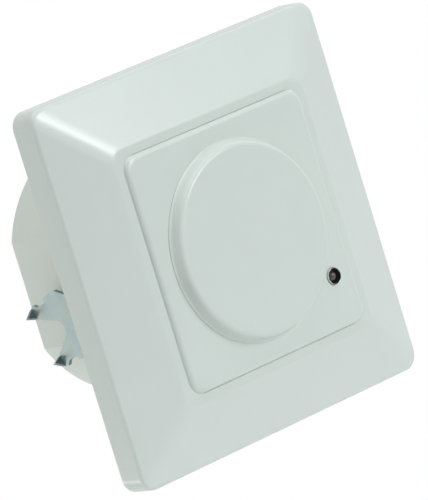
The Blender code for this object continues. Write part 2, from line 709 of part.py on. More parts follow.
def claw(name, side):
    """One claw on its hinge axis: the flat, the screw foot bent outward at its root, and two teeth."""
    mesh = sheet([claw_outline()], CLAW_SHEET, 0.0)
    obj = make_object(name, mesh, metal(name, (0.60, 0.66, 0.68), 0.3))
    across, along, outward = claw_axes(side)
    hinge = claw_hinge(side) - outward * CLAW_SHEET / 2
    obj.matrix_basis = Matrix.Translation(hinge) @ Matrix((across, along, outward)).transposed().to_4x4()
    foot = bent_tab(-CLAW_ROOT_HALF, CLAW_ROOT_HALF, CLAW_FOOT_LENGTH, CLAW_FOOT_ANGLE, 0.0, None)
    join(obj, foot, "foot")
    middle = CLAW_FOOT_HOLE * Vector((0.0, math.cos(CLAW_FOOT_ANGLE), math.sin(CLAW_FOOT_ANGLE)))
    hole = round_bar(CLAW_FOOT_HOLE_RADIUS, -2 * CLAW_SHEET, 2 * CLAW_SHEET)
    bmesh.ops.rotate(hole, cent=(0, 0, 0), matrix=Matrix.Rotation(CLAW_FOOT_ANGLE, 3, "X"), verts=hole.verts)
    bmesh.ops.translate(hole, vec=middle + Vector((0.0, 0.0, CLAW_SHEET / 2)), verts=hole.verts)
    cut(obj, hole, "screw_hole")
    for edge, mirrored in (("near", 1), ("far", -1)):
        low, high = sorted((mirrored * CLAW_TIP_INNER, mirrored * CLAW_TIP_OUTER))
        root = CLAW_LENGTH - CLAW_SHEET / 2
        tooth = bent_tab(low, high, TOOTH_LENGTH + CLAW_SHEET / 2, TOOTH_ANGLE, root, mirrored * TOOTH_POINT)
        join(obj, tooth, f"{edge}_tooth")
    return obj


def claw_screw(name, side):
    """The screw that draws the claw's foot to the ring, on its own drooping axis."""
    base, tip = CLAW_SCREW_FRONT - CLAW_SCREW_HEAD_HEIGHT, -CLAW_SCREW_BACK
    profile = pan_head(CLAW_SCREW_HEAD, CLAW_SCREW_HEAD_HEIGHT, base, CLAW_SCREW_RADIUS, tip)
    obj = turned(name, profile, metal(name, (0.62, 0.65, 0.66), 0.3), SMALL_STEPS)
    turn = (-claw_screw_direction()).to_track_quat("Z", "Y").to_matrix().to_4x4()
    obj.matrix_basis = Matrix.Translation(claw_screw_point(side)) @ turn
    cross_drive(obj, base + CLAW_SCREW_HEAD_HEIGHT)
    return obj


# Boards and components


def sensor_board():
    edge = [(x, y) for x, y, _ in rounded_loop(SENSOR_BOARD_HALF, BOARD_CORNER, 0.0)]
    mesh = sheet([edge], SENSOR_BOARD_THICKNESS, SENSOR_BOARD_BACK)
    return make_object("sensor_board", mesh, plastic("sensor_board", (0.03, 0.16, 0.07), 0.4))


def radar_shield():
    """The tinned can over the microwave oscillator."""
    width, height, depth = SHIELD_SIZE
    base = SENSOR_BOARD_BACK + SENSOR_BOARD_THICKNESS + GAP
    mesh = block((-width / 2, -height / 2, base), (width / 2, height / 2, base + depth))
    obj = make_object("radar_shield", mesh, metal("radar_shield", (0.66, 0.67, 0.66), 0.3))
    return soften(stand(obj, 0.0, SHIELD_UP, 0.0), PART_EDGE)


def trimmer(setting, x):
    """A setting trimmer: its body on the sensor board and the slotted knob that turns in it."""
    width, height, depth = TRIMMER_SIZE
    base = SENSOR_BOARD_BACK + SENSOR_BOARD_THICKNESS + GAP
    mesh = block((-width / 2, -height / 2, base), (width / 2, height / 2, base + depth))
    body_name, knob_name = f"trimmer_body_{setting}", f"trimmer_knob_{setting}"
    body = make_object(body_name, mesh, plastic(body_name, (0.05, 0.12, 0.35), 0.4))
    stand(body, x, TRIMMER_UP, 0.0)
    floor = base + depth - TRIMMER_WELL_DEPTH
    cut(body, round_bar(TRIMMER_WELL, floor, base + depth + TRIMMER_WELL_DEPTH, steps=ROUND_STEPS), "well")
    low = floor + GAP
    profile = (
        (0.0, low + KNOB_HEIGHT),
        (KNOB_RADIUS * 0.9, low + KNOB_HEIGHT),
        (KNOB_RADIUS, low + KNOB_HEIGHT * 0.85),
        (KNOB_RADIUS, low),
        (0.0, low),
    )
    knob = turned(knob_name, profile, plastic(knob_name, WHITE, 0.35), SMALL_STEPS)
    stand(knob, x, TRIMMER_UP, 0.0)
    half = DRIVE_WIDTH / 2
    top = low + KNOB_HEIGHT
    slot = block((-half, -KNOB_RADIUS * 0.6, top - DRIVE_DEPTH), (half, KNOB_RADIUS * 1.1, top + DRIVE_DEPTH))
    cut(knob, slot, "pointer_slot")


def controller_chip():
    width, height, depth = CHIP_SIZE
    top = SENSOR_BOARD_BACK - GAP
    mesh = block((-width / 2, -height / 2, top - depth), (width / 2, height / 2, top))
    obj = make_object("controller_chip", mesh, plastic("controller_chip", DARK, 0.5))
    return soften(stand(obj, 0.0, CHIP_UP, 0.0), PART_EDGE / 2, 1)


def board_header():
    """The pin header that joins the two boards: a bar at the main board and four long pins."""
    base = MAIN_BOARD_FRONT + GAP
    half = HEADER_PINS * HEADER_PITCH / 2
    mesh = block((-half, -HEADER_BAR / 2, base), (half, HEADER_BAR / 2, base + HEADER_BAR))
    obj = make_object("board_header", mesh, plastic("board_header", DARK, 0.4))
    stand(obj, *HEADER_PLACE, 0.0)
    for pin in range(HEADER_PINS):
        x = (pin - (HEADER_PINS - 1) / 2) * HEADER_PITCH
        low = (x - HEADER_PIN / 2, -HEADER_PIN / 2, base + OVERLAP)
        high = (x + HEADER_PIN / 2, HEADER_PIN / 2, SENSOR_BOARD_BACK - GAP)
        join(obj, block(low, high), f"pin_{pin + 1}")
    return obj


def main_board():
    edge = [(x, y) for x, y, _ in flat_sided_loop(MAIN_BOARD_RADIUS, MAIN_BOARD_FLAT, 0.0)]
    mesh = sheet([edge], MAIN_BOARD_THICKNESS, MAIN_BOARD_FRONT - MAIN_BOARD_THICKNESS)
    return make_object("main_board", mesh, plastic("main_board", (0.05, 0.20, 0.09), 0.4))


def boxed_component(name, spec, colour):
    """A moulded component standing on the front of the main board."""
    width, height, depth = spec["size"]
    base = MAIN_BOARD_FRONT + GAP
    mesh = block((-width / 2, -height / 2, base), (width / 2, height / 2, base + depth))
    obj = make_object(name, mesh, plastic(name, colour, 0.35))
    return soften(stand(obj, *spec["at"], 0.0), PART_EDGE)


def can_component(name, spec, colour):
    """A round component standing on the front of the main board."""
    radius, base = spec["radius"], MAIN_BOARD_FRONT + GAP
    top = base + spec["height"]
    profile = (
        (0.0, top),
        (radius - PART_EDGE, top),
        (radius, top - PART_EDGE),
        (radius, base),
        (0.0, base),
    )
    obj = turned(name, profile, plastic(name, colour, 0.3), ROUND_STEPS // 2)
    return stand(obj, *spec["at"], 0.0)


def varistor():
    """A coated disc that stands on edge on the main board."""
    radius, half = VARISTOR["radius"], VARISTOR["thickness"] / 2
    mesh = round_bar(radius, -half, half, steps=ROUND_STEPS // 2)
    bmesh.ops.rotate(mesh, cent=(0, 0, 0), matrix=Matrix.Rotation(math.pi / 2, 3, "X"), verts=mesh.verts)
    centre = MAIN_BOARD_FRONT + GAP + radius
    bmesh.ops.translate(mesh, vec=(0.0, 0.0, centre), verts=mesh.verts)
    obj = make_object("varistor", mesh, plastic("varistor", (0.05, 0.15, 0.45), 0.4))
    return soften(stand(obj, *VARISTOR["at"], 0.0), PART_EDGE * 2)


# Terminals


def terminal_block():
    """The three-pole block: a cage cavity, a screw hole and a wire entry for each pole."""
    low = (-TERMINAL_HALF, TERMINAL_BOTTOM, TERMINAL_REAR)
    mesh = block(low, (TERMINAL_HALF, TERMINAL_TOP, TERMINAL_FRONT))
    obj = make_object("terminal_block", mesh, plastic("terminal_block", (0.75, 0.76, 0.74), 0.45))
    for pole in POLES:
        x = pole * TERMINAL_PITCH
        name = f"pole_{pole + 2}"
        half = CAVITY["half"]
        low = (x - half, CAVITY["low"], CAVITY["back"])
        cut(obj, block(low, (x + half, CAVITY["high"], CAVITY["front"])), f"{name}_cavity")
        half = WIRE_ENTRY["half"]
        low = (x - half, TERMINAL_BOTTOM - HOUSING_WALL, WIRE_ENTRY["back"])
        high = (x + half, CAVITY["low"] + OVERLAP, WIRE_ENTRY["front"])
        cut(obj, block(low, high), f"{name}_wire_entry")
        half = PIN_SLOT["half"]
        low = (x - half, CAVITY["high"] - OVERLAP, PIN_SLOT["back"])
        high = (x + half, PIN_SLOT["high"], TERMINAL_FRONT + HOUSING_WALL)
        cut(obj, block(low, high), f"{name}_pin_slot")
        hole = round_bar(TERMINAL_SCREW_HOLE, TERMINAL_REAR - HOUSING_WALL, CAVITY["back"] + OVERLAP, (x, SCREW_UP))
        cut(obj, hole, f"{name}_screw_hole")
    return obj


def terminal_screw(number, x):
    """A clamp screw, which turns in place with its slotted head at the rear."""
    out = TERMINAL_SCREW_OUT
    profile = (
        (0.0, out["tip"]),
        (TERMINAL_SCREW_SHANK, out["tip"]),
        (TERMINAL_SCREW_SHANK, out["neck"]),
        (TERMINAL_SCREW_HEAD, out["neck"]),
        (TERMINAL_SCREW_HEAD, out["head"]),
        (0.0, out["head"]),
    )
    name = f"terminal_screw_{number}"
    obj = turned(name, profile, metal(name, (0.62, 0.63, 0.62), 0.3), SMALL_STEPS)
    stand(obj, x, SCREW_UP, 0.0)
    half, reach = DRIVE_WIDTH / 2, TERMINAL_SCREW_HEAD * 1.2
    slot = block((-reach, -half, out["head"] - DRIVE_DEPTH), (reach, half, out["head"] + DRIVE_DEPTH))
    cut(obj, slot, "slot")
    return obj


def terminal_cage(number, x):
    """The rising cage: a frame round the pin, with the thread in its rear bar."""
    half = CAGE["half"]
    name = f"terminal_cage_{number}"
    mesh = block((-half, CAGE["low"], CAGE["back"]), (half, CAGE["high"], CAGE["front"]))
    obj = make_object(name, mesh, metal(name, (0.75, 0.60, 0.30), 0.3))
    stand(obj, x, 0.0, 0.0)
    half = CAGE_WINDOW["half"]
    low = (-half, CAGE["low"] - OVERLAP, CAGE_WINDOW["back"])
    cut(obj, block(low, (half, CAGE["high"] + OVERLAP, CAGE_WINDOW["front"])), "window")
    thread = round_bar(CAGE_THREAD, CAGE["back"] - OVERLAP, CAGE_WINDOW["back"] + OVERLAP, (0.0, SCREW_UP))
    cut(obj, thread, "thread")
    return obj


def terminal_pin(number, x):
    """The fixed tongue inside the cage, bent down to the main board."""
    half, thickness = PIN["half"], PIN["thickness"]
    name = f"terminal_pin_{number}"
    mesh = block((-half, PIN["low"], PIN["back"]), (half, PIN["high"], PIN["back"] + thickness))
    obj = make_object(name, mesh, metal(name, (0.70, 0.68, 0.60), 0.3))
    stand(obj, x, 0.0, 0.0)
    low = (-half, PIN["high"] - thickness, PIN["back"] + thickness - OVERLAP)
    join(obj, block(low, (half, PIN["high"], TERMINAL_FRONT)), "leg")
    return obj


def build():
    cover_frame()
    centre_plate()
    round_cap()
    sensor_bezel()
    light_sensor()
    front_carrier()
    support_ring()
    rear_housing()
    for corner, side in SCREW_CORNERS:
        carrier_screw(corner, side)
    for name, side in (("left", -1), ("right", 1)):
        claw(f"claw_{name}", side)
        claw_screw(f"claw_screw_{name}", side)
    sensor_board()
    radar_shield()
    for setting, x in TRIMMERS.items():
        trimmer(setting, x)
    controller_chip()
    board_header()
    main_board()
    boxed_component("relay", RELAY, (0.03, 0.10, 0.30))
    boxed_component("film_capacitor", FILM_CAPACITOR, (0.65, 0.55, 0.12))
    boxed_component("bridge_rectifier", RECTIFIER, DARK)
    can_component("smoothing_capacitor", LARGE_CAPACITOR, (0.04, 0.05, 0.10))
    can_component("output_capacitor", SMALL_CAPACITOR, (0.04, 0.05, 0.10))
    can_component("fuse", FUSE, (0.25, 0.10, 0.05))
    can_component("choke", CHOKE, (0.10, 0.10, 0.10))
    varistor()
    terminal_block()
    for number, pole in enumerate(POLES, start=1):
        terminal_screw(number, pole * TERMINAL_PITCH)
        terminal_cage(number, pole * TERMINAL_PITCH)
        terminal_pin(number, pole * TERMINAL_PITCH)


build()
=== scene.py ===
"""Looks for the flush-mounted motion sensor switch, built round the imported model.

All lengths are in metres, in the model's frame: +X right seen from the room, +Y into the wall, +Z up. Plate-like
pieces are drawn from profiles of half-width and height in front of the wall, which points to -Y.
"""

import json
import math

import bmesh
import bpy
from mathutils import Matrix, Vector


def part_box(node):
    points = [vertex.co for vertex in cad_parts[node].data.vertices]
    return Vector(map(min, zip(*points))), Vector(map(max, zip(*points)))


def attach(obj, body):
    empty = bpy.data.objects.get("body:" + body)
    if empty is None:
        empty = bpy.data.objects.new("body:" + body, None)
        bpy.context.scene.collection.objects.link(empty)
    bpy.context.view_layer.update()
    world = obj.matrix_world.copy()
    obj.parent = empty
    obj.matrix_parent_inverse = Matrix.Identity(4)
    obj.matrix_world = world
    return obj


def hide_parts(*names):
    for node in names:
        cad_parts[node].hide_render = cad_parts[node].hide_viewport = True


MM = 0.001
TAU = 2 * math.pi

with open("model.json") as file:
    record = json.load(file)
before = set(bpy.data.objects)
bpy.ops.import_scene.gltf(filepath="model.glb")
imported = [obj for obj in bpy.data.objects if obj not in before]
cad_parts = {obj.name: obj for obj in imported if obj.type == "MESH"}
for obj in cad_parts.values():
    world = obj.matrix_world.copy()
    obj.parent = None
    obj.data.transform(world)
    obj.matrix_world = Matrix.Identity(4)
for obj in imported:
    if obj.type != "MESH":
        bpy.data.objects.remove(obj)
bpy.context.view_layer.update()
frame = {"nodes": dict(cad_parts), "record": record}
NODES = frame["nodes"]
JOINTS = {joint["name"]: joint for joint in frame["record"]["behaviour"]["joints"]}


# ---------------------------------------------------------------- camera

CAMERA_AZIMUTH = math.radians(-40.34521)
CAMERA_ELEVATION = math.radians(8.14642)
CAMERA_ROLL = math.radians(-17.09141)
CAMERA_DISTANCE = 1.19793
CAMERA_SHIFT_RIGHT = 0.001092
CAMERA_SHIFT_UP = -0.000971
CAMERA_LENS_MM = 424.085
CAMERA_SENSOR_MM = 36.0


def make_camera():
    a, e = CAMERA_AZIMUTH, CAMERA_ELEVATION
    back = Vector((math.sin(a) * math.cos(e), -math.cos(a) * math.cos(e), math.sin(e)))
    level = Vector((math.cos(a), math.sin(a), 0.0))
    upright = back.cross(level)
    right = math.cos(CAMERA_ROLL) * level + math.sin(CAMERA_ROLL) * upright
    up = -math.sin(CAMERA_ROLL) * level + math.cos(CAMERA_ROLL) * upright
    data = bpy.data.cameras.new("camera")
    data.sensor_fit = "AUTO"
    data.sensor_width = CAMERA_SENSOR_MM
    data.lens = CAMERA_LENS_MM
    data.clip_start, data.clip_end = 0.05, 20.0
    camera = bpy.data.objects.new("camera", data)
    bpy.context.scene.collection.objects.link(camera)
    place = back * CAMERA_DISTANCE + right * CAMERA_SHIFT_RIGHT + up * CAMERA_SHIFT_UP
    camera.matrix_world = Matrix.Translation(place) @ Matrix((right, up, back)).transposed().to_4x4()
    bpy.context.scene.camera = camera


# ---------------------------------------------------------------- material helpers


class Nodes:
    """A short way to write a node tree."""

    def __init__(self, tree):
        self.tree = tree
        self.coords = None

    def add(self, kind, **values):
        node = self.tree.nodes.new(kind)
        for key, value in values.items():
            setattr(node, key, value)
        return node

    def put(self, socket, value):
        """Links an output to a socket, or sets the socket's value."""
        if hasattr(value, "is_output"):
            self.tree.links.new(value, socket)
        else:
            socket.default_value = value

    def place(self, scale=(1.0, 1.0, 1.0)):
        if self.coords is None:
            self.coords = self.add("ShaderNodeTexCoord").outputs["Object"]
        if scale == (1.0, 1.0, 1.0):
            return self.coords
        mapping = self.add("ShaderNodeMapping")
        self.put(mapping.inputs["Vector"], self.coords)
        mapping.inputs["Scale"].default_value = scale
        return mapping.outputs["Vector"]

    def noise(self, size, detail=3.0, roughness=0.55, stretch=(1.0, 1.0, 1.0)):
        """Noise whose features are about size metres across."""
        node = self.add("ShaderNodeTexNoise")
        self.put(node.inputs["Vector"], self.place(stretch))
        node.inputs["Scale"].default_value = 1.0 / size
        node.inputs["Detail"].default_value = detail
        node.inputs["Roughness"].default_value = roughness
        return node.outputs["Fac"]

    def cells(self, size, feature="F1", stretch=(1.0, 1.0, 1.0)):
        node = self.add("ShaderNodeTexVoronoi", feature=feature)
        self.put(node.inputs["Vector"], self.place(stretch))
        node.inputs["Scale"].default_value = 1.0 / size
        return node.outputs["Distance"]

    def span(self, value, low, high, to_low, to_high):
        node = self.add("ShaderNodeMapRange")
        self.put(node.inputs["Value"], value)
        for name, number in (("From Min", low), ("From Max", high), ("To Min", to_low), ("To Max", to_high)):
            node.inputs[name].default_value = number
        return node.outputs["Result"]

    def maths(self, operation, a, b=0.0, c=0.0):
        node = self.add("ShaderNodeMath", operation=operation)
        for socket, value in zip(node.inputs, (a, b, c)):
            self.put(socket, value)
        return node.outputs[0]

    def mix(self, factor, a, b, blend="MIX"):
        node = self.add("ShaderNodeMix", data_type="RGBA", blend_type=blend)
        self.put(node.inputs["Factor"], factor)
        self.put(node.inputs[6], a)
        self.put(node.inputs[7], b)
        return node.outputs[2]

    def bump(self, height, strength, distance, under=None):
        node = self.add("ShaderNodeBump")
        self.put(node.inputs["Height"], height)
        node.inputs["Strength"].default_value = strength
        node.inputs["Distance"].default_value = distance
        if under is not None:
            self.put(node.inputs["Normal"], under)
        return node.outputs["Normal"]

    def edges(self, low, high):
        """About 1 on convex edges and 0 on flats."""
        point = self.add("ShaderNodeNewGeometry").outputs["Pointiness"]
        return self.span(point, low, high, 0.0, 1.0)


def rgb(colour):
    return (*colour, 1.0)


def scaled(colour, factor):
    return rgb([min(1.0, c * factor) for c in colour])


def new_material(name):
    material = bpy.data.materials.new(name)
    material.use_nodes = True
    nodes = Nodes(material.node_tree)
    return material, nodes, material.node_tree.nodes["Principled BSDF"]


# ---------------------------------------------------------------- materials


def moulded_plastic(name, colour, roughness, grain=0.12 * MM, grain_strength=0.02, wave=0.012 * MM, specular=0.5):
    """Injection-moulded plastic: fine tool grain, slow sink waves, faint flow tone and slightly dulled edges."""
    material, n, shader = new_material(name)
    flow = n.noise(14 * MM, 2.0)
    cloud = n.noise(3.0 * MM, 4.0)
    tone = n.mix(n.span(flow, 0.3, 0.7, 0.0, 1.0), scaled(colour, 0.994), scaled(colour, 1.006))
    tone = n.mix(n.span(cloud, 0.35, 0.75, 0.0, 0.25), tone, scaled(colour, 0.985))
    specks = n.span(n.cells(1.9 * MM), 0.0, 0.035, 1.0, 0.0)
    rare = n.span(n.noise(2.4 * MM, 0.0), 0.66, 0.72, 0.0, 0.25)
    tone = n.mix(n.maths("MULTIPLY", specks, rare), tone, scaled(colour, 0.7))
    tone = n.mix(n.maths("MULTIPLY", n.edges(0.52, 0.60), 0.35), tone, scaled(colour, 1.04))
    n.put(shader.inputs["Base Color"], tone)
    rubbed = n.span(n.noise(6 * MM, 3.0, 0.6), 0.3, 0.7, roughness * 0.86, roughness * 1.16)
    fine = n.span(n.noise(0.5 * MM, 2.0), 0.3, 0.7, -0.02, 0.02)
    n.put(shader.inputs["Roughness"], n.maths("ADD", rubbed, fine))
    slow = n.bump(n.noise(22 * MM, 1.0), 1.0, wave)
    n.put(shader.inputs["Normal"], n.bump(n.noise(grain, 2.0), grain_strength, 0.01 * MM, slow))
    shader.inputs["Specular IOR Level"].default_value = specular
    return material


def plated_steel(name, colour, roughness, along=(1.0, 1.0, 1.0), stain=(0.55, 0.60, 0.55)):
    """Zinc-plated sheet or bar: mottled passivation, rolling lines, rubbed edges and pinpoint pits."""
    material, n, shader = new_material(name)
    mottle = n.noise(1.6 * MM, 5.0, 0.6)
    bloom = n.noise(5.0 * MM, 2.0)
    tone = n.mix(n.span(mottle, 0.35, 0.68, 0.0, 1.0), scaled(colour, 0.90), scaled(colour, 1.06))
    tone = n.mix(n.span(bloom, 0.45, 0.65, 0.0, 0.6), tone, rgb(stain))
    pits = n.span(n.cells(0.55 * MM), 0.0, 0.12, 1.0, 0.0)
    pitted = n.maths("MULTIPLY", pits, n.span(mottle, 0.5, 0.65, 0.0, 0.7))
    tone = n.mix(pitted, tone, scaled(colour, 0.6))
    tone = n.mix(n.maths("MULTIPLY", n.edges(0.52, 0.62), 0.5), tone, scaled(colour, 1.15))
    n.put(shader.inputs["Base Color"], tone)
    shader.inputs["Metallic"].default_value = 1.0
    rolled = n.noise(0.10 * MM, 2.0, 0.5, along)
    worn = n.span(mottle, 0.3, 0.7, roughness * 0.85, roughness * 1.25)
    n.put(shader.inputs["Roughness"], n.maths("ADD", worn, n.span(rolled, 0.3, 0.7, -0.04, 0.05)))
    coarse = n.bump(mottle, 0.25, 0.02 * MM)
    n.put(shader.inputs["Normal"], n.bump(rolled, 0.18, 0.01 * MM, coarse))
    return material


def solder_mask(name, colour, seed_size):
    """A green board: mask over a faint copper track pattern, with the weave of the laminate below it."""
    material, n, shader = new_material(name)
    tracks = n.add("ShaderNodeTexBrick", offset=0.37, offset_frequency=3, squash=1.6, squash_frequency=2)
    n.put(tracks.inputs["Vector"], n.place((1.0, 1.0, 1.0)))
    tracks.inputs["Color1"].default_value = rgb((0.0, 0.0, 0.0))
    tracks.inputs["Color2"].default_value = rgb((1.0, 1.0, 1.0))
    tracks.inputs["Mortar"].default_value = rgb((0.2, 0.2, 0.2))
    for key, value in (("Scale", 1.0), ("Mortar Size", 0.12 * seed_size), ("Brick Width", seed_size * 2.2)):
        tracks.inputs[key].default_value = value
    tracks.inputs["Row Height"].default_value = seed_size * 0.8
    track = n.span(tracks.outputs["Color"], 0.1, 0.9, 0.0, 1.0)
    weave = n.cells(0.45 * MM, stretch=(1.0, 1.0, 1.4))
    tone = n.mix(track, scaled(colour, 0.72), scaled(colour, 1.25))
    tone = n.mix(n.span(weave, 0.1, 0.6, 0.0, 0.15), tone, scaled(colour, 1.6))
    n.put(shader.inputs["Base Color"], tone)
    n.put(shader.inputs["Roughness"], n.span(n.noise(1.2 * MM, 3.0), 0.3, 0.7, 0.22, 0.38))
    n.put(shader.inputs["Normal"], n.bump(track, 0.35, 0.03 * MM, n.bump(weave, 0.12, 0.01 * MM)))
    return material


def coated_part(name, colour, roughness, size=0.8 * MM, metallic=0.0):
    """A small moulded, dipped or sleeved component: uneven tone, orange-peel skin, lighter rubbed edges."""
    material, n, shader = new_material(name)
    skin = n.noise(size, 3.0)
    tone = n.mix(n.span(skin, 0.3, 0.7, 0.0, 1.0), scaled(colour, 0.82), scaled(colour, 1.18))
    tone = n.mix(n.maths("MULTIPLY", n.edges(0.52, 0.62), 0.4), tone, scaled(colour, 1.8))
    n.put(shader.inputs["Base Color"], tone)
    shader.inputs["Metallic"].default_value = metallic
    n.put(shader.inputs["Roughness"], n.span(n.noise(size * 3, 2.0), 0.3, 0.7, roughness * 0.8, roughness * 1.3))
    n.put(shader.inputs["Normal"], n.bump(skin, 0.25, 0.02 * MM))
    return material


def clear_lens(name):
    """The dark resin dome over the light sensor, with its chip and lead frame dimly seen."""
    material, n, shader = new_material(name)
    depth = n.noise(0.5 * MM, 3.0)
    tone = n.mix(n.span(depth, 0.35, 0.65, 0.0, 1.0), rgb((0.050, 0.047, 0.037)), rgb((0.120, 0.105, 0.082)))
    n.put(shader.inputs["Base Color"], tone)
    n.put(shader.inputs["Roughness"], n.span(n.noise(0.3 * MM, 2.0), 0.3, 0.7, 0.05, 0.16))
    n.put(shader.inputs["Normal"], n.bump(depth, 0.08, 0.02 * MM))
    shader.inputs["Coat Weight"].default_value = 0.6
    shader.inputs["Coat Roughness"].default_value = 0.05
    return material


def painted_shade_recess(name):
    """Painted shade: the wall inside the sensor's sleeve, painted near-black because it lies unlit in shadow."""
    return coated_part(name, (0.030, 0.034, 0.030), 0.55, 0.3 * MM)


WHITE = (0.700, 0.780, 0.748)
HOUSING_WHITE = (0.712, 0.785, 0.735)
ZINC = (0.375, 0.470, 0.485)

MATERIALS = {
    "frame": moulded_plastic("frame_white", WHITE, 0.20),
    "plate": moulded_plastic("plate_white", WHITE, 0.22),
    "cap": moulded_plastic("cap_white", WHITE, 0.22, wave=0.008 * MM),
    "housing": moulded_plastic("housing_white", HOUSING_WHITE, 0.42, grain=0.16 * MM, grain_strength=0.12),
    "carrier": moulded_plastic("carrier_white", HOUSING_WHITE, 0.42, grain=0.16 * MM, grain_strength=0.12),
    "terminal": moulded_plastic("terminal_grey", (0.62, 0.64, 0.63), 0.45, grain=0.14 * MM, grain_strength=0.12),
    "knob": moulded_plastic("knob_white", (0.78, 0.79, 0.77), 0.35),
    "claw": plated_steel("claw_zinc", ZINC, 0.36, along=(1.0, 0.12, 1.0), stain=(0.42, 0.47, 0.40)),
    "claw_edge": plated_steel("claw_sheared_edge", (0.24, 0.29, 0.31), 0.5, along=(0.3, 1.0, 1.0)),
    "ring": plated_steel("ring_zinc", (0.56, 0.62, 0.63), 0.38, along=(0.08, 1.0, 1.0)),
    "screw": plated_steel("screw_zinc", (0.60, 0.63, 0.64), 0.30),
    "bezel": plated_steel("bezel_plate", (0.86, 0.87, 0.87), 0.12, stain=(0.8, 0.8, 0.8)),
    "shield": plated_steel("shield_tin", (0.64, 0.65, 0.64), 0.33, along=(0.1, 1.0, 1.0)),
    "brass": plated_steel("cage_brass_metal", (0.68, 0.50, 0.22), 0.33, stain=(0.50, 0.36, 0.15)),
    "pin": plated_steel("pin_tinned", (0.62, 0.60, 0.52), 0.35),
    # Painted shade: the sleeve's bore is painted near-black where it lies in shadow.
    "recess": painted_shade_recess("sensor_recess_painted_shade"),
    "lens": clear_lens("sensor_lens_resin"),
    "sensor_board": solder_mask("sensor_board_mask", (0.030, 0.150, 0.070), 2.4 * MM),
    "main_board": solder_mask("main_board_mask", (0.045, 0.190, 0.085), 3.1 * MM),
}


# ---------------------------------------------------------------- mesh helpers

CORNER_STEPS = 14
SHARP = math.radians(32)
MERGE = 0.0005 * MM


def make_piece(name, mesh, *materials):
    data = bpy.data.meshes.new(name)
    mesh.to_mesh(data)
    mesh.free()
    obj = bpy.data.objects.new(name, data)
    bpy.context.scene.collection.objects.link(obj)
    for material in materials:
        data.materials.append(material)
    return obj


def bake_modifiers(obj):
    """Turns the object's modifiers into its mesh."""
    graph = bpy.context.evaluated_depsgraph_get()
    graph.update()
    made = bpy.data.meshes.new_from_object(obj.evaluated_get(graph))
    old = obj.data
    obj.modifiers.clear()
    obj.data = made
    made.name = old.name
    bpy.data.meshes.remove(old)


def carve(obj, *cutters, operation="DIFFERENCE"):
    """Cuts the cutters from a piece, or joins them to it, for good."""
    for cutter in cutters:
        modifier = obj.modifiers.new("tool", "BOOLEAN")
        modifier.operation = operation
        modifier.solver = "EXACT"
        modifier.object = cutter
        bake_modifiers(obj)
        bpy.data.objects.remove(cutter, do_unlink=True)


def round_edges(obj, width, segments=2, angle=SHARP, material=-1):
    """Rounds the edges that are sharper than angle. The new faces keep their material, unless given a slot."""
    modifier = obj.modifiers.new("round", "BEVEL")
    modifier.width = width
    modifier.segments = segments
    modifier.limit_method = "ANGLE"
    modifier.angle_limit = angle
    modifier.harden_normals = False
    modifier.material = material
    bake_modifiers(obj)


def shade(obj, angle=SHARP):
    """Shades smooth up to angle, with flats that stay flat beside their rounded edges."""
    obj.data.shade_smooth()
    obj.data.set_sharp_from_angle(angle=angle)
    modifier = obj.modifiers.new("flats", "WEIGHTED_NORMAL")
    modifier.keep_sharp = True
    modifier.weight = 100


def fit(obj, body, slot, *nodes):
    """Attaches a finished piece to its body and hides the CAD nodes that it stands for. The finish, slot, is not used.
    """
    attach(obj, body)
    if nodes:
        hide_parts(*nodes)
    return obj


def filleted(points, radii, steps=5):
    """Rounds the corners of a closed outline of (a, b, extra) points, each by its own radius."""
    out = []
    count = len(points)
    for i, (point, radius) in enumerate(zip(points, radii)):
        here = Vector(point[:2])
        before, after = Vector(points[i - 1][:2]), Vector(points[(i + 1) % count][:2])
        to_before, to_after = (before - here).normalized(), (after - here).normalized()
        half = to_before.angle(to_after) / 2
        if radius <= 0 or half > math.radians(89.5):
            out.append((here.x, here.y, point[2]))
            continue
        reach = radius / math.tan(half)
        centre = here + (to_before + to_after).normalized() * radius / math.sin(half)
        start, end = here + to_before * reach - centre, here + to_after * reach - centre
        turn = start.angle_signed(end)
        for step in range(steps + 1):
            angle = -turn * step / steps
            spoke = Matrix.Rotation(angle, 2) @ start
            out.append((centre.x + spoke.x, centre.y + spoke.y, point[2]))
    return out


def square_loop(half, radius, out):
    """A rounded square round the axis at one height in front of the wall."""
    radius = max(radius, 0.05 * MM)
    points = []
    for side, top, start in ((1, 1, 0), (-1, 1, 90), (-1, -1, 180), (1, -1, 270)):
        for step in range(CORNER_STEPS + 1):
            angle = math.radians(start + 90 * step / CORNER_STEPS)
            x = side * (half - radius) + radius * math.cos(angle)
            z = top * (half - radius) + radius * math.sin(angle)
            points.append((x, -out, z))
    return points


def skin(loops, closed=False, caps=True):
    """A surface through loops of the same length: closed back on itself, capped at its ends, or open."""
    mesh = bmesh.new()
    rings = [[mesh.verts.new(point) for point in loop] for loop in loops]
    pairs = list(zip(rings, rings[1:] + rings[:1])) if closed else list(zip(rings, rings[1:]))
    for lower, upper in pairs:
        for i in range(len(lower)):
            j = (i + 1) % len(lower)
            mesh.faces.new((lower[i], lower[j], upper[j], upper[i]))
    if not closed and caps:
        mesh.faces.new(rings[0][::-1])
        mesh.faces.new(rings[-1])
    bmesh.ops.recalc_face_normals(mesh, faces=mesh.faces)
    return mesh


def box_mesh(low, high):
    """A plain block for carve, given two opposite corners."""
    mesh = bmesh.new()
    bmesh.ops.create_cube(mesh, size=1.0)
    bmesh.ops.scale(mesh, vec=[b - a for a, b in zip(low, high)], verts=mesh.verts)
    bmesh.ops.translate(mesh, vec=[(a + b) / 2 for a, b in zip(low, high)], verts=mesh.verts)
    return mesh


def turned_loops(profile, steps, at):
    """One loop about an axis towards the room for each (radius, out) of a profile."""
    turns = [TAU * step / steps for step in range(steps)]
    return [
        [(at[0] + radius * math.cos(turn), -out, at[1] + radius * math.sin(turn)) for turn in turns]
        for radius, out in profile
    ]


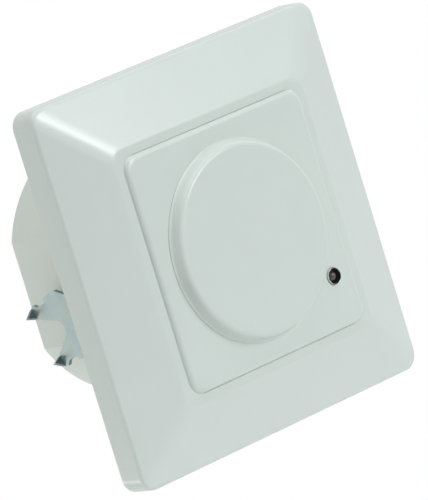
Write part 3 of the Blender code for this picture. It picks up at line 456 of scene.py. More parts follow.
def lathe(profile, steps, at=(0.0, 0.0)):
    """Turns a profile that starts and ends on the axis."""
    mesh = skin(turned_loops(profile, steps, at), caps=False)
    bmesh.ops.remove_doubles(mesh, verts=mesh.verts, dist=MERGE)
    bmesh.ops.recalc_face_normals(mesh, faces=mesh.faces)
    return mesh


def ring_lathe(profile, steps, at=(0.0, 0.0)):
    """Turns a closed outline that stays clear of the axis."""
    return skin(turned_loops(profile, steps, at), closed=True)


def rod(radius, low, high, at=(0.0, 0.0), steps=48):
    """A round bar between two heights in front of the wall."""
    return lathe([(0.0, low), (radius, low), (radius, high), (0.0, high)], steps, at)


def tool(mesh):
    """A piece that carve uses up."""
    return make_piece("tool", mesh)


# ---------------------------------------------------------------- cover frame

FRAME_LOW, FRAME_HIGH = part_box("cover_frame")
FRAME_HALF = FRAME_HIGH.x
FRAME_FRONT = -FRAME_LOW.y
FRAME_REAR = -FRAME_HIGH.y
FRAME_SHOULDER = 6.24 * MM
BEVEL_END = 27.02 * MM
WINDOW_HALF = 25.13 * MM
WINDOW_LIP = 26.65 * MM
WINDOW_BACK = 7.85 * MM
BEVEL_INSIDE = 9.25 * MM
RIM_INSIDE = 37.9 * MM
RIM_INSIDE_TOP = 5.35 * MM
FRAME_CORNER = 3.3 * MM
WINDOW_CORNER = 3.4 * MM
RIM_INSIDE_CORNER = FRAME_CORNER - 1.1 * MM
POST_LENGTH = 8.0 * MM
POST_NEAR, POST_FAR = 35.8 * MM, 37.1 * MM
POST_FOOT, POST_TOP = 0.2 * MM, 6.6 * MM
POST_EDGE = 0.25 * MM


def cover_frame():
    """The frame: an upright rim, a wide bevel and a flat land round the window, with four press-on posts behind."""
    outline = [
        (FRAME_HALF, FRAME_REAR, FRAME_CORNER),
        (FRAME_HALF, FRAME_SHOULDER, FRAME_CORNER),
        (BEVEL_END, FRAME_FRONT, WINDOW_CORNER),
        (WINDOW_HALF, FRAME_FRONT, WINDOW_CORNER),
        (WINDOW_HALF, WINDOW_BACK, WINDOW_CORNER),
        (WINDOW_LIP, WINDOW_BACK, WINDOW_CORNER),
        (WINDOW_LIP, BEVEL_INSIDE, WINDOW_CORNER),
        (RIM_INSIDE, RIM_INSIDE_TOP, RIM_INSIDE_CORNER),
        (RIM_INSIDE, FRAME_REAR, RIM_INSIDE_CORNER),
    ]
    radii = [0.30, 1.05, 1.8, 0.12, 0.10, 0.10, 0.5, 0.6, 0.12]
    profile = filleted(outline, [r * MM for r in radii], 7)
    mesh = skin([square_loop(half, corner, out) for half, out, corner in profile], closed=True)
    obj = make_piece("cover_frame_shell", mesh, MATERIALS["frame"])
    posts = []
    for turn in range(4):
        low, high = (-POST_LENGTH / 2, -POST_TOP, POST_NEAR), (POST_LENGTH / 2, -POST_FOOT, POST_FAR)
        post = tool(box_mesh(low, high))
        round_edges(post, POST_EDGE)
        post.data.transform(Matrix.Rotation(math.radians(90 * turn), 4, "Y"))
        posts.append(post)
    carve(obj, *posts, operation="UNION")
    shade(obj)
    return fit(obj, "frame", "frame_plastic", "cover_frame")


# ---------------------------------------------------------------- centre plate, sleeve and cap

PLATE_LOW, PLATE_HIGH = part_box("centre_plate")
PLATE_HALF = PLATE_HIGH.x + 0.05 * MM
PLATE_FRONT = -PLATE_LOW.y
PLATE_BACK = -PLATE_HIGH.y
PLATE_CORNER = 3.0 * MM
PLATE_WALL = 1.5 * MM
PLATE_EDGE = 1.15 * MM
PLATE_SKIRT_EDGE = 0.15 * MM
CAP_OPENING = 19.3 * MM

CAP_LOW, CAP_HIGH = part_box("round_cap")
CAP_BASE = CAP_HIGH.x + 0.30 * MM
CAP_WAIST = 20.55 * MM
CAP_FRONT = -CAP_LOW.y
CAP_SPIGOT_BACK = -CAP_HIGH.y
CAP_TOP = 19.7 * MM
CAP_FOOT = 12.24 * MM
CAP_SPIGOT = 19.0 * MM
CAP_SPIGOT_INSIDE = 17.8 * MM
CAP_INSIDE = 13.3 * MM
CAP_STEPS = 192

SLEEVE_LOW, SLEEVE_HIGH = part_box("sensor_bezel")
EYE = ((SLEEVE_LOW.x + SLEEVE_HIGH.x) / 2 + 0.12 * MM, (SLEEVE_LOW.z + SLEEVE_HIGH.z) / 2)
SLEEVE_OUTER = (SLEEVE_HIGH.x - SLEEVE_LOW.x) / 2
SLEEVE_INNER = 1.62 * MM
SLEEVE_FRONT = -SLEEVE_LOW.y
SLEEVE_BACK = -SLEEVE_HIGH.y
EYE_HOLE = 1.85 * MM
EYE_HOLE_LIP = 0.10 * MM
LENS_RADIUS = 1.2 * MM
LENS_FLANGE = 1.5 * MM
LENS_FORWARD = 0.5 * MM


def hole_cutter(radius, lip, front, back, at):
    """A cutter for a round hole whose edge is eased by a small radius."""
    profile = [(0.0, back), (radius, back), (radius, front - lip)]
    for step in range(1, 6):
        angle = math.radians(90 * step / 6)
        profile.append((radius + lip * (1 - math.cos(angle)), front - lip + lip * math.sin(angle)))
    profile += [(radius + lip, front), (radius + lip, front + MM), (0.0, front + MM)]
    return tool(lathe(profile, 96, at))


def centre_plate():
    """The plate, a shallow tray. Its outline's last point lies on the front face, so the edge rounds into the face."""
    inner = PLATE_HALF - PLATE_WALL
    outline = [
        (inner, PLATE_FRONT - PLATE_WALL, PLATE_CORNER - PLATE_WALL / 2),
        (inner, PLATE_BACK, PLATE_CORNER - PLATE_WALL / 2),
        (PLATE_HALF, PLATE_BACK, PLATE_CORNER),
        (PLATE_HALF, PLATE_FRONT, PLATE_CORNER),
        (PLATE_HALF / 2, PLATE_FRONT, PLATE_CORNER),
    ]
    profile = filleted(outline, [0.0, PLATE_SKIRT_EDGE, PLATE_SKIRT_EDGE, PLATE_EDGE, 0.0], 9)
    mesh = skin([square_loop(half, corner, out) for half, out, corner in profile])
    obj = make_piece("centre_plate_shell", mesh, MATERIALS["plate"])
    carve(
        obj,
        tool(rod(CAP_OPENING, PLATE_BACK, PLATE_FRONT + MM, steps=128)),
        hole_cutter(EYE_HOLE, EYE_HOLE_LIP, PLATE_FRONT, PLATE_BACK, EYE),
    )
    shade(obj)
    return fit(obj, "plate", "plate_plastic", "centre_plate")


def round_cap():
    """The cap: a flat top with a cone-shaped side and a small foot, and a spigot that presses into the plate."""
    outline = [
        (CAP_TOP, CAP_FRONT, 0.0),
        (CAP_WAIST, CAP_FOOT + 0.25 * MM, 0.0),
        (CAP_BASE, CAP_FOOT + 0.18 * MM, 0.0),
        (CAP_BASE, CAP_FOOT, 0.0),
        (CAP_SPIGOT, CAP_FOOT, 0.0),
        (CAP_SPIGOT, CAP_SPIGOT_BACK, 0.0),
        (CAP_SPIGOT_INSIDE, CAP_SPIGOT_BACK, 0.0),
        (CAP_SPIGOT_INSIDE, CAP_INSIDE, 0.0),
        (0.0, CAP_INSIDE, 0.0),
        (0.0, CAP_FRONT, 0.0),
    ]
    radii = [1.15, 0.65, 0.08, 0.05, 0.0, 0.2, 0.1, 0.4, 0.0, 0.0]
    rounded = filleted(outline, [r * MM for r in radii], 8)
    profile = [(a, b) for a, b, _ in rounded[-1:] + rounded[:-1]]
    obj = make_piece("round_cap_shell", lathe(profile, CAP_STEPS), MATERIALS["cap"])
    shade(obj)
    return fit(obj, "cap", "cap_plastic", "round_cap")


def sensor_sleeve():
    """The bright sleeve that lines the eye. Behind the rounded lip its bore is painted near-black, as painted shade
    for the shadow inside it.
    """
    lip = (SLEEVE_OUTER - SLEEVE_INNER) / 2
    outline = [
        (SLEEVE_OUTER, SLEEVE_BACK, 0.0),
        (SLEEVE_OUTER, SLEEVE_FRONT, 0.0),
        (SLEEVE_INNER, SLEEVE_FRONT, 0.0),
        (SLEEVE_INNER, SLEEVE_BACK, 0.0),
    ]
    rounded = filleted(outline, [0.0, lip * 0.95, lip * 0.95, 0.0], 6)
    profile = [(a, b) for a, b, _ in rounded]
    obj = make_piece("sensor_sleeve", ring_lathe(profile, 72, EYE), MATERIALS["bezel"], MATERIALS["recess"])
    # Painted shade: the bore's faces behind the lip take the near-black recess finish.
    for face in obj.data.polygons:
        centre = face.center
        radius = math.hypot(centre.x - EYE[0], centre.z - EYE[1])
        if radius < SLEEVE_INNER + 0.03 * MM and -centre.y < SLEEVE_FRONT - lip:
            face.material_index = 1
    shade(obj)
    return fit(obj, "plate", "bezel_metal", "sensor_bezel")


def light_sensor():
    """The resin dome on its flange, behind the sleeve."""
    low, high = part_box("light_sensor")
    front, foot = -low.y + LENS_FORWARD, -high.y
    radius, flange = LENS_RADIUS, LENS_FLANGE
    profile = [(0.0, front)]
    for step in range(1, 13):
        angle = math.radians(90 - 90 * step / 12)
        profile.append((radius * math.cos(angle), front - radius + radius * math.sin(angle)))
    profile += [(radius, foot + radius), (flange, foot + radius - 0.1 * MM), (flange, foot), (0.0, foot)]
    obj = make_piece("light_sensor_lens", lathe(profile, 64, EYE), MATERIALS["lens"])
    shade(obj)
    return fit(obj, "device", "sensor_lens", "light_sensor")


# ---------------------------------------------------------------- sheet metal

SHEARED_ANGLE = math.radians(50)
SHEET_SHARP = math.radians(14)
BOSS_PLACE = 17.5 * MM


def flat_pattern(outlines):
    """A flat mesh from 2D outlines: the first is the edge, the others are holes."""
    curve = bpy.data.curves.new("pattern", "CURVE")
    curve.dimensions = "2D"
    curve.fill_mode = "BOTH"
    for outline in outlines:
        spline = curve.splines.new("POLY")
        spline.points.add(len(outline) - 1)
        spline.use_cyclic_u = True
        for point, (x, y) in zip(spline.points, outline):
            point.co = (x, y, 0.0, 1.0)
    holder = bpy.data.objects.new("pattern", curve)
    bpy.context.scene.collection.objects.link(holder)
    graph = bpy.context.evaluated_depsgraph_get()
    flat = bpy.data.meshes.new_from_object(holder.evaluated_get(graph))
    mesh = bmesh.new()
    mesh.from_mesh(flat)
    bpy.data.objects.remove(holder, do_unlink=True)
    bpy.data.curves.remove(curve)
    bpy.data.meshes.remove(flat)
    bmesh.ops.remove_doubles(mesh, verts=mesh.verts, dist=MERGE)
    return mesh


def thickened(flat, thickness, place):
    """Gives a flat mesh two sides and a wall. place(x, y, t) says where a point of the pattern goes."""
    mesh = bmesh.new()
    levels = []
    for t in (-thickness / 2, thickness / 2):
        levels.append({v.index: mesh.verts.new(place(v.co.x, v.co.y, t)) for v in flat.verts})
    for face in flat.faces:
        index = [v.index for v in face.verts]
        if face.normal.z < 0:
            index.reverse()
        mesh.faces.new([levels[1][i] for i in index])
        mesh.faces.new([levels[0][i] for i in reversed(index)])
    for edge in flat.edges:
        if len(edge.link_faces) == 1:
            a, b = (v.index for v in edge.verts)
            wall = mesh.faces.new((levels[0][a], levels[0][b], levels[1][b], levels[1][a]))
            wall.material_index = 1
    flat.free()
    bmesh.ops.recalc_face_normals(mesh, faces=mesh.faces)
    return mesh


def arc(centre, radius, start, end, steps):
    """Points along an arc in the flat pattern, between two angles."""
    points = []
    for step in range(steps + 1):
        angle = start + (end - start) * step / steps
        points.append((centre[0] + radius * math.cos(angle), centre[1] + radius * math.sin(angle)))
    return points


def circle(centre, radius, steps=40):
    return arc(centre, radius, 0.0, TAU * (steps - 1) / steps, steps - 1)


def slot_shape(centre, half, radius, upright):
    """A slot with round ends, given half the distance between the centres of its ends."""
    points = arc((half, 0.0), radius, -math.pi / 2, math.pi / 2, 16)
    points += arc((-half, 0.0), radius, math.pi / 2, 3 * math.pi / 2, 16)
    if upright:
        points = [(-y, x) for x, y in points]
    return [(centre[0] + x, centre[1] + y) for x, y in points]


# Claws. Lengths run along the flat pattern from the hinge at 0, and halves run across it.

CLAW_SHEET = 1.0 * MM
CLAW_ROOT_HALF = 4.5 * MM
CLAW_FOOT_ANGLE = math.radians(68)
CLAW_FOOT_LENGTH = 7.6 * MM
CLAW_FOOT_HOLE = 4.8 * MM
CLAW_FOOT_BORE = 2.1 * MM
CLAW_EDGE = 0.10 * MM
CLAW_LUG = 7.3 * MM
CLAW_MIDDLE = 15.0 * MM
CLAW_BEND = 0.9 * MM
CLAW_LENGTH = 20.5 * MM
TOOTH_BEND = 0.6 * MM
TOOTH_ANGLE = math.radians(75)
TOOTH_LENGTH = 2.26 * MM
TIP_OUTER, TIP_INNER, TOOTH_POINT = 6.8 * MM, 4.35 * MM, 5.3 * MM
TOOTH_BLUNT = 0.08 * MM
ARCH_CENTRE, ARCH_RADIUS, ARCH_FLARE = 17.0 * MM, 2.3 * MM, math.radians(27)

FOOT_TURN = math.pi - CLAW_FOOT_ANGLE
FOOT_START = CLAW_BEND * math.tan(FOOT_TURN / 2)
FOOT_BEND_END = FOOT_START - CLAW_BEND * FOOT_TURN
TOOTH_ROOT = CLAW_LENGTH - CLAW_SHEET / 2
TOOTH_START = TOOTH_ROOT - TOOTH_BEND * math.tan(TOOTH_ANGLE / 2)
TOOTH_BEND_END = TOOTH_START + TOOTH_BEND * TOOTH_ANGLE


def on_foot(distance):
    """Where a distance from the hinge along the foot lies on the flat pattern."""
    return FOOT_BEND_END - (distance - FOOT_START)


def claw_half():
    """Half of the claw's flat pattern, from the foot's end to the tooth, with eased stamped corners.

    Each corner is (across, along, radius in millimetres).
    """
    foot_end = on_foot(CLAW_FOOT_LENGTH)
    point_at = TOOTH_BEND_END + TOOTH_LENGTH - (TOOTH_ROOT - TOOTH_START)
    corners = [
        (CLAW_ROOT_HALF, foot_end, 0.6),
        (CLAW_ROOT_HALF, 9.5 * MM, 1.2),
        (CLAW_LUG, 12.3 * MM, 0.5),
        (7.25 * MM, 15.75 * MM, 0.55),
        (6.2 * MM, 15.95 * MM, 0.3),
        (6.3 * MM, 18.3 * MM, 0.6),
        (7.15 * MM, 19.1 * MM, 0.35),
        (TIP_OUTER, TOOTH_ROOT, 0.0),
        (TOOTH_POINT + TOOTH_BLUNT, point_at, 0.0),
        (TOOTH_POINT - TOOTH_BLUNT, point_at, 0.0),
        (TIP_INNER, TOOTH_ROOT, 0.0),
    ]
    closed = [(x, y, 0.0) for x, y, _ in corners] + [(0.0, CLAW_MIDDLE, 0.0), (0.0, foot_end, 0.0)]
    radii = [r * MM for _, _, r in corners] + [0.0, 0.0]
    outline = [(x, y) for x, y, _ in filleted(closed, radii, 4)][:-2]
    return outline + arc((0.0, ARCH_CENTRE), ARCH_RADIUS, -ARCH_FLARE, -math.pi / 2, 12)


def bent(distance, t, radius, turn, reach):
    """(forward, sideways) for a point at distance past the start of a bend, t from the sheet's middle."""
    angle = min(distance / (radius * turn), 1.0) * turn
    rest = max(distance - radius * turn, 0.0)
    forward = (radius - t) * math.sin(angle) + rest * math.cos(angle)
    sideways = radius - (radius - t) * math.cos(angle) + rest * math.sin(angle)
    return reach + forward, sideways


def claw_fold(y, t):
    """Where a point at distance y along the flat pattern, t from its middle, goes as (along, outward)."""
    if y < FOOT_START:
        back, outward = bent(FOOT_START - y, t, CLAW_BEND, FOOT_TURN, -FOOT_START)
        return -back, outward
    if y > TOOTH_START:
        return bent(y - TOOTH_START, t, TOOTH_BEND, TOOTH_ANGLE, TOOTH_START)
    return y, t


def claw(side):
    """A stamped and bent claw. The bend by the housing is its hinge line."""
    joint = JOINTS[f"claw_{side}_spread"]
    across = Vector(joint["axis"]).normalized()
    outward = -across.cross(Vector((0.0, 0.0, 1.0))).normalized()
    along = outward.cross(across)
    hinge = Vector(joint["pos_m"])
    half = claw_half()
    outline = half + [(-x, y) for x, y in reversed(half[:-1])]
    flat = flat_pattern([outline, circle((0.0, on_foot(CLAW_FOOT_HOLE)), CLAW_FOOT_BORE)])
    cuts = [FOOT_START + (FOOT_BEND_END - FOOT_START) * k / 9 for k in range(10)]
    cuts += [TOOTH_START + (TOOTH_BEND_END - TOOTH_START) * k / 6 for k in range(7)]
    for y in cuts:
        geometry = flat.verts[:] + flat.edges[:] + flat.faces[:]
        bmesh.ops.bisect_plane(flat, geom=geometry, plane_co=(0.0, y, 0.0), plane_no=(0.0, 1.0, 0.0), dist=1e-8)
    flat.verts.index_update()
    flat.normal_update()

    def place(x, y, t):
        a, o = claw_fold(y, t)
        return hinge + across * x + along * a + outward * o

    mesh = thickened(flat, CLAW_SHEET, place)
    obj = make_piece(f"claw_{side}_stamping", mesh, MATERIALS["claw"], MATERIALS["claw_edge"])
    round_edges(obj, CLAW_EDGE, angle=SHEARED_ANGLE, material=1)
    shade(obj, SHEET_SHARP)
    return fit(obj, f"{side}_claw", "claw_steel", f"claw_{side}")


# Support ring

RING_CORNER = 5.0 * MM
RING_BORE = 22.0 * MM
RING_EDGE = 0.08 * MM
BOX_SCREW_REACH = 30.0 * MM
SLOT_RADIUS = 1.9 * MM
BOX_SLOT_HALF = 5.5 * MM
CLAW_SLOT_HALF = 2.6 * MM
CARRIER_HOLE = 1.7 * MM
CORNER_HOLE = 1.6 * MM


def support_ring():
    """The square sheet ring, with its bore, two slots for box screws, two for claw screws and six round holes."""
    low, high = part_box("support_ring")
    half, front, back = high.x, -low.y, -high.y
    edge = [(x, z) for x, _, z in square_loop(half, RING_CORNER, 0.0)]
    outlines = [edge, circle((0.0, 0.0), RING_BORE, 160)]
    reach = BOX_SCREW_REACH
    for side, name in ((-1, "left"), (1, "right")):
        outlines.append(slot_shape((0.0, side * reach), BOX_SLOT_HALF, SLOT_RADIUS, False))
        claw_x = JOINTS[f"claw_screw_{name}_turn"]["pos_m"][0]
        outlines.append(slot_shape((claw_x, 0.0), CLAW_SLOT_HALF, SLOT_RADIUS, True))
        outlines.append(circle((side * BOSS_PLACE, -side * BOSS_PLACE), CARRIER_HOLE))
        for top in (-1, 1):
            outlines.append(circle((side * reach, top * reach), CORNER_HOLE))
    flat = flat_pattern(outlines)
    flat.verts.index_update()
    flat.normal_update()
    middle = (front + back) / 2
    mesh = thickened(flat, front - back, lambda x, y, t: Vector((x, -(middle + t), y)))
    obj = make_piece("support_ring_plate", mesh, MATERIALS["ring"], MATERIALS["ring"])
    round_edges(obj, RING_EDGE, angle=SHEARED_ANGLE)
    shade(obj, SHEET_SHARP)
    return fit(obj, "device", "ring_steel", "support_ring")


# ---------------------------------------------------------------- screws

CLAW_SCREW = {
    "head": 2.8 * MM,
    "height": 1.9 * MM,
    "shank": 1.45 * MM,
    "plain": 0.8 * MM,
    "runout": 0.2 * MM,
    "pitch": 0.5 * MM,
    "depth": 0.28 * MM,
    "cross": 1.4 * MM,
    "cross_depth": 1.1 * MM,
    "steps": 28,
}
CARRIER_SCREW = {
    "head": 2.4 * MM,
    "height": 1.7 * MM,
    "shank": 1.35 * MM,
    "plain": 0.5 * MM,
    "runout": 0.1 * MM,
    "pitch": 0.8 * MM,
    "depth": 0.3 * MM,
    "cross": 1.3 * MM,
    "cross_depth": 1.0 * MM,
    "steps": 24,
}
CROSS_HALF = 0.33 * MM
CLAW_SCREW_BASE, CLAW_SCREW_TIP = 6.0 * MM, -4.4 * MM
RINGS_PER_PITCH = 7


def screw_mesh(rings, steps, pitch, depth):
    """A screw about +Z from (radius, height, threaded) rings, top to bottom, with a helical thread where threaded."""
    mesh = bmesh.new()
    loops = []
    for radius, height, threaded in rings:
        loop = []
        for step in range(steps):
            turn = step / steps
            r = radius
            if threaded:
                phase = (height / pitch - turn) % 1.0
                r -= depth * threaded * abs(2 * phase - 1)
            loop.append(mesh.verts.new((r * math.cos(TAU * turn), r * math.sin(TAU * turn), height)))
        loops.append(loop)
    for lower, upper in zip(loops, loops[1:]):
        for i in range(steps):
            j = (i + 1) % steps
            mesh.faces.new((lower[i], lower[j], upper[j], upper[i]))
    mesh.faces.new(loops[0])
    mesh.faces.new(loops[-1][::-1])
    bmesh.ops.recalc_face_normals(mesh, faces=mesh.faces)
    return mesh


def head_rings(radius, height, base, shank):
    """A pan head with a crowned top, above base."""
    rings = []
    for step in range(9):
        angle = math.radians(90 * step / 8)
        reach = 0.35 * radius + 0.65 * radius * math.sin(angle)
        rings.append((reach, base + height * 0.45 + height * 0.55 * math.cos(angle), 0))
    rings += [(radius, base + height * 0.08, 0), (radius * 0.97, base, 0), (shank, base, 0)]
    return rings


def threaded_rings(radius, top, tip, pitch):
    """A threaded shank that fades in at its top and tapers to its tip."""
    rings = []
    count = max(2, int((top - tip) / pitch * RINGS_PER_PITCH))
    for step in range(count + 1):
        height = top - (top - tip) * step / count
        ease = min(1.0, (top - height) / pitch, (height - tip) / pitch)
        taper = min(1.0, 0.72 + 0.28 * (height - tip) / (1.2 * pitch))
        rings.append((radius * taper, height, max(ease, 0.0)))
    return rings


def cut_cross(obj, top, reach, half, depth):
    """Sinks a tapered cross recess into a head, one arm after the other."""
    for turned in (False, True):
        loops = []
        for height, scale, width in ((top + 0.3 * MM, 1.15, half), (top - depth, 0.55, 0.7 * half)):
            ring = []
            for a, b in ((1, 1), (-1, 1), (-1, -1), (1, -1)):
                x, y = a * reach * scale, b * width
                ring.append((-y, x, height) if turned else (x, y, height))
            loops.append(ring)
        carve(obj, tool(skin(loops)))


def cross_head_screw(name, size, base, tip):
    """A screw about +Z, with its head above base and its thread down to tip."""
    shank, thread_top = size["shank"], base - size["plain"] - size["runout"]
    rings = head_rings(size["head"], size["height"], base, shank)
    rings.append((shank, base - size["plain"], 0))
    rings += threaded_rings(shank, thread_top, tip, size["pitch"])
    obj = make_piece(name, screw_mesh(rings, size["steps"], size["pitch"], size["depth"]), MATERIALS["screw"])
    cut_cross(obj, base + size["height"], size["cross"], CROSS_HALF, size["cross_depth"])
    return obj


def claw_screw(side):
    """The claw's screw, on its joint's axis, with its head in front of the ring."""
    joint = JOINTS[f"claw_screw_{side}_turn"]
    axis = Vector(joint["axis"]).normalized()
    middle = Vector(joint["pos_m"])
    obj = cross_head_screw(f"claw_screw_{side}_thread", CLAW_SCREW, CLAW_SCREW_BASE, CLAW_SCREW_TIP)
    turn = (-axis).to_track_quat("Z", "Y").to_matrix().to_4x4()
    obj.data.transform(Matrix.Translation(middle) @ turn)
    shade(obj)
    return fit(obj, f"{side}_claw_screw", "claw_screw_steel", f"claw_screw_{side}")


def carrier_screw(node):
    """A self-tapping screw from the carrier into the housing, where its CAD node is."""
    low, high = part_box(node)
    x, z = (low.x + high.x) / 2, (low.z + high.z) / 2
    obj = cross_head_screw(node + "_thread", CARRIER_SCREW, -low.y - CARRIER_SCREW["height"], -high.y)
    obj.data.transform(Matrix.Translation((x, 0.0, z)) @ Matrix.Rotation(math.radians(90), 4, "X"))
    shade(obj)
    return fit(obj, "device", "carrier_screw_steel", node)


# ---------------------------------------------------------------- housing and carrier

HOUSING_LOW, HOUSING_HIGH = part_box("rear_housing")
HOUSING_RADIUS = HOUSING_HIGH.z
HOUSING_FLAT = HOUSING_HIGH.x
HOUSING_FRONT = -HOUSING_LOW.y
HOUSING_REAR = -HOUSING_HIGH.y
HOUSING_WALL = 1.8 * MM
HOUSING_EDGE = 0.6 * MM
HOUSING_SHOULDER = 0.1 * MM
TERMINAL_GAP = 0.3 * MM
BOSS_RADIUS, BOSS_FOOT = 2.7 * MM, -12.0 * MM
BOSS_BORE, BOSS_BORE_END = 1.7 * MM, -9.9 * MM
FLAT_STEPS = 64


def flat_sided(radius, flat, out, blend=0.5 * MM):
    """A circle with a flat at each side, the corners between them eased."""
    reach = math.acos(min(1.0, flat / radius))
    raw = []
    for start in (reach, math.pi + reach):
        for step in range(FLAT_STEPS + 1):
            angle = start + (math.pi - 2 * reach) * step / FLAT_STEPS
            raw.append((radius * math.cos(angle), radius * math.sin(angle), 0.0))
    corners = {0, FLAT_STEPS, FLAT_STEPS + 1, 2 * FLAT_STEPS + 1}
    radii = [blend if i in corners else 0.0 for i in range(len(raw))]
    return [(x, -out, z) for x, z, _ in filleted(raw, radii, 5)]


def rear_housing():
    """The cup, skinned through (inset, out) steps from its floor inside, over its rim, to the outside of its floor.

    An opening for the terminal block is open below and behind, and two bosses take the carrier's screws.
    """
    front, rear, wall = HOUSING_FRONT, HOUSING_REAR, HOUSING_WALL
    edge, shoulder, gap = HOUSING_EDGE, HOUSING_SHOULDER, TERMINAL_GAP
    steps = [(wall, rear + wall), (wall, front), (shoulder, front), (0.0, front - shoulder), (0.0, rear + edge)]
    for k in range(1, 6):
        angle = math.radians(90 * k / 6)
        steps.append((edge * (1 - math.cos(angle)), rear + edge * (1 - math.sin(angle))))
    steps.append((edge, rear))
    loops = [flat_sided(HOUSING_RADIUS - inset, HOUSING_FLAT - inset, out) for inset, out in steps]
    obj = make_piece("rear_housing_shell", skin(loops), MATERIALS["housing"])
    low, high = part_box("terminal_block")
    opening = box_mesh((low.x - gap, low.y - gap, low.z - 6 * MM), (high.x + gap, high.y + 3 * MM, high.z + gap))
    carve(obj, tool(opening))
    for side in (-1, 1):
        place = (side * BOSS_PLACE, -side * BOSS_PLACE)
        carve(obj, tool(rod(BOSS_RADIUS, BOSS_FOOT, front, place)), operation="UNION")
        carve(obj, tool(rod(BOSS_BORE, BOSS_BORE_END, MM, place)))
    shade(obj)
    return fit(obj, "device", "housing_plastic", "rear_housing")


# ---------------------------------------------------------------- light and stage

FLOOR_Z = -0.12
FLOOR_RADIUS = 0.20
FLOOR_GRAIN = 0.03

# The glow of the backdrop and of the sides, and the cosines to the dark side between which each one fades in
DARK_SIDE = (-0.64, -0.75, 0.14)
BACKDROP_GLOW, BACKDROP_FADE = 0.72, (0.2, -0.6)
SIDE_GLOW, SIDE_FADE = 0.02, (0.95, 0.45)


def make_world():
    """A white backdrop that glows softly, fading to a dark room on the side that faces it."""
    world = bpy.data.worlds.new("studio")
    bpy.context.scene.world = world
    world.use_nodes = True
    n = Nodes(world.node_tree)
    world.node_tree.nodes.clear()
    out = n.add("ShaderNodeOutputWorld")
    facing = n.add("ShaderNodeVectorMath", operation="DOT_PRODUCT")
    n.put(facing.inputs[0], n.add("ShaderNodeTexCoord").outputs["Generated"])
    facing.inputs[1].default_value = DARK_SIDE
    towards = facing.outputs["Value"]
    back = n.add("ShaderNodeMapRange", interpolation_type="SMOOTHSTEP")
    side = n.add("ShaderNodeMapRange", interpolation_type="SMOOTHSTEP")
    for node, (start, end), glow in ((back, BACKDROP_FADE, BACKDROP_GLOW), (side, SIDE_FADE, SIDE_GLOW)):
        n.put(node.inputs["Value"], towards)
        node.inputs["From Min"].default_value = start
        node.inputs["From Max"].default_value = end
        node.inputs["To Max"].default_value = glow
    seen = n.add("ShaderNodeBackground")
    seen.inputs["Color"].default_value = rgb((1.0, 1.0, 1.0))
    fill = n.add("ShaderNodeBackground")
    fill.inputs["Color"].default_value = rgb((1.0, 1.0, 1.0))
    n.put(fill.inputs["Strength"], n.maths("ADD", back.outputs["Result"], side.outputs["Result"]))
    mixer = n.add("ShaderNodeMixShader")
    n.put(mixer.inputs[0], n.add("ShaderNodeLightPath").outputs["Is Camera Ray"])
    n.put(mixer.inputs[1], fill.outputs[0])
    n.put(mixer.inputs[2], seen.outputs[0])
    n.put(out.inputs["Surface"], mixer.outputs[0])


def softbox(name, towards, distance, size, power, colour, mirrored):
    """A square lamp that faces the model. One that isn't mirrored only lights, and leaves no shine."""
    data = bpy.data.lights.new(name, "AREA")
    data.shape = "RECTANGLE"
    data.size, data.size_y = size
    data.energy = power
    data.color = colour
    lamp = bpy.data.objects.new(name, data)
    bpy.context.scene.collection.objects.link(lamp)
    direction = Vector(towards).normalized()
    lamp.location = direction * distance
    lamp.rotation_mode = "QUATERNION"
    lamp.rotation_quaternion = direction.to_track_quat("Z", "Y")
    lamp.visible_camera = False
    lamp.visible_glossy = mirrored


NEUTRAL = (1.0, 1.0, 1.0)
WARM = (1.0, 0.98, 0.94)

# name: towards, distance, size, power, colour, and whether glossy surfaces mirror it
LAMPS = {
    "overhead": ((-0.15, -0.10, 1.0), 1.2, (1.3, 1.1), 9.3, NEUTRAL, True),
    "front": ((0.15, -0.98, 0.10), 1.3, (0.7, 0.7), 1.3, NEUTRAL, True),
    "front_low": ((0.20, -0.88, -0.42), 1.3, (0.7, 0.7), 0.7, NEUTRAL, True),
    "key": ((0.28, -0.88, 0.38), 1.1, (0.30, 0.30), 3.0, NEUTRAL, True),
    "key_right": ((0.50, -0.74, 0.43), 1.1, (0.30, 0.30), 1.35, NEUTRAL, True),
    "right": ((0.8, -0.6, 0.0), 1.3, (0.9, 0.9), 0.6, NEUTRAL, True),
    "left": ((-1.0, 0.10, 0.0), 1.3, (0.9, 0.9), 2.6, WARM, True),
    "fill": ((-0.55, -0.83, 0.05), 1.35, (1.3, 1.3), 4.9, NEUTRAL, False),
    "left_rear_low": ((-0.65, 0.60, -0.5), 1.3, (0.8, 0.8), 7.0, WARM, True),
}


def make_lights():
    for name, settings in LAMPS.items():
        softbox(name, *settings)


def make_floor():
    mesh = bmesh.new()
    bmesh.ops.create_circle(mesh, cap_ends=True, segments=96, radius=FLOOR_RADIUS)
    bmesh.ops.translate(mesh, vec=(0.0, 0.0, FLOOR_Z), verts=mesh.verts)
    material, n, shader = new_material("floor_paper")
    tone = n.span(n.noise(FLOOR_GRAIN, 3.0), 0.3, 0.7, 0.0, 1.0)
    n.put(shader.inputs["Base Color"], n.mix(tone, rgb((0.90, 0.90, 0.90)), rgb((0.93, 0.93, 0.93))))
    shader.inputs["Roughness"].default_value = 0.9
    floor = make_piece("floor", mesh, material)


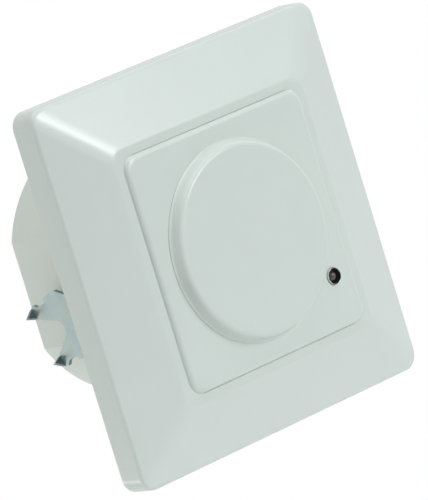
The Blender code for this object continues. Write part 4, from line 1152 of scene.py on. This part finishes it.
# ---------------------------------------------------------------- the rest of the nodes

SETTINGS = ("time", "light", "range")

PLAIN_NODES = {
    "front_carrier": "carrier",
    "terminal_block": "terminal",
    "sensor_board": "sensor_board",
    "main_board": "main_board",
    "radar_shield": "shield",
}
for setting in SETTINGS:
    PLAIN_NODES[f"trimmer_knob_{setting}"] = "knob"
for number in (1, 2, 3):
    PLAIN_NODES[f"terminal_screw_{number}"] = "screw"
    PLAIN_NODES[f"terminal_cage_{number}"] = "brass"
    PLAIN_NODES[f"terminal_pin_{number}"] = "pin"

# node: colour and roughness
COATED_NODES = {f"trimmer_body_{setting}": ((0.04, 0.11, 0.36), 0.42) for setting in SETTINGS}
COATED_NODES |= {
    "controller_chip": ((0.025, 0.025, 0.027), 0.5),
    "board_header": ((0.02, 0.02, 0.02), 0.4),
    "relay": ((0.02, 0.08, 0.30), 0.3),
    "film_capacitor": ((0.62, 0.50, 0.09), 0.35),
    "bridge_rectifier": ((0.02, 0.02, 0.02), 0.45),
    "smoothing_capacitor": ((0.03, 0.04, 0.09), 0.3),
    "output_capacitor": ((0.03, 0.04, 0.09), 0.3),
    "fuse": ((0.20, 0.07, 0.03), 0.4),
    "choke": ((0.06, 0.06, 0.06), 0.5),
    "varistor": ((0.03, 0.11, 0.42), 0.35),
}


def dress(node, material):
    for slot in NODES[node].material_slots:
        slot.material = material


def dress_nodes():
    """Gives every CAD node that stays a finish of its own."""
    for node, key in PLAIN_NODES.items():
        dress(node, MATERIALS[key])
    for node, (colour, roughness) in COATED_NODES.items():
        dress(node, coated_part(node + "_finish", colour, roughness))


# ---------------------------------------------------------------- build

make_camera()
cover_frame()
centre_plate()
round_cap()
sensor_sleeve()
light_sensor()
for side in ("left", "right"):
    claw(side)
    claw_screw(side)
support_ring()
for node in ("carrier_screw_upper_left", "carrier_screw_lower_right"):
    carrier_screw(node)
rear_housing()
dress_nodes()
make_world()
make_lights()
make_floor()

scene = bpy.context.scene
scene.view_settings.view_transform = "Standard"
scene.view_settings.look = "None"
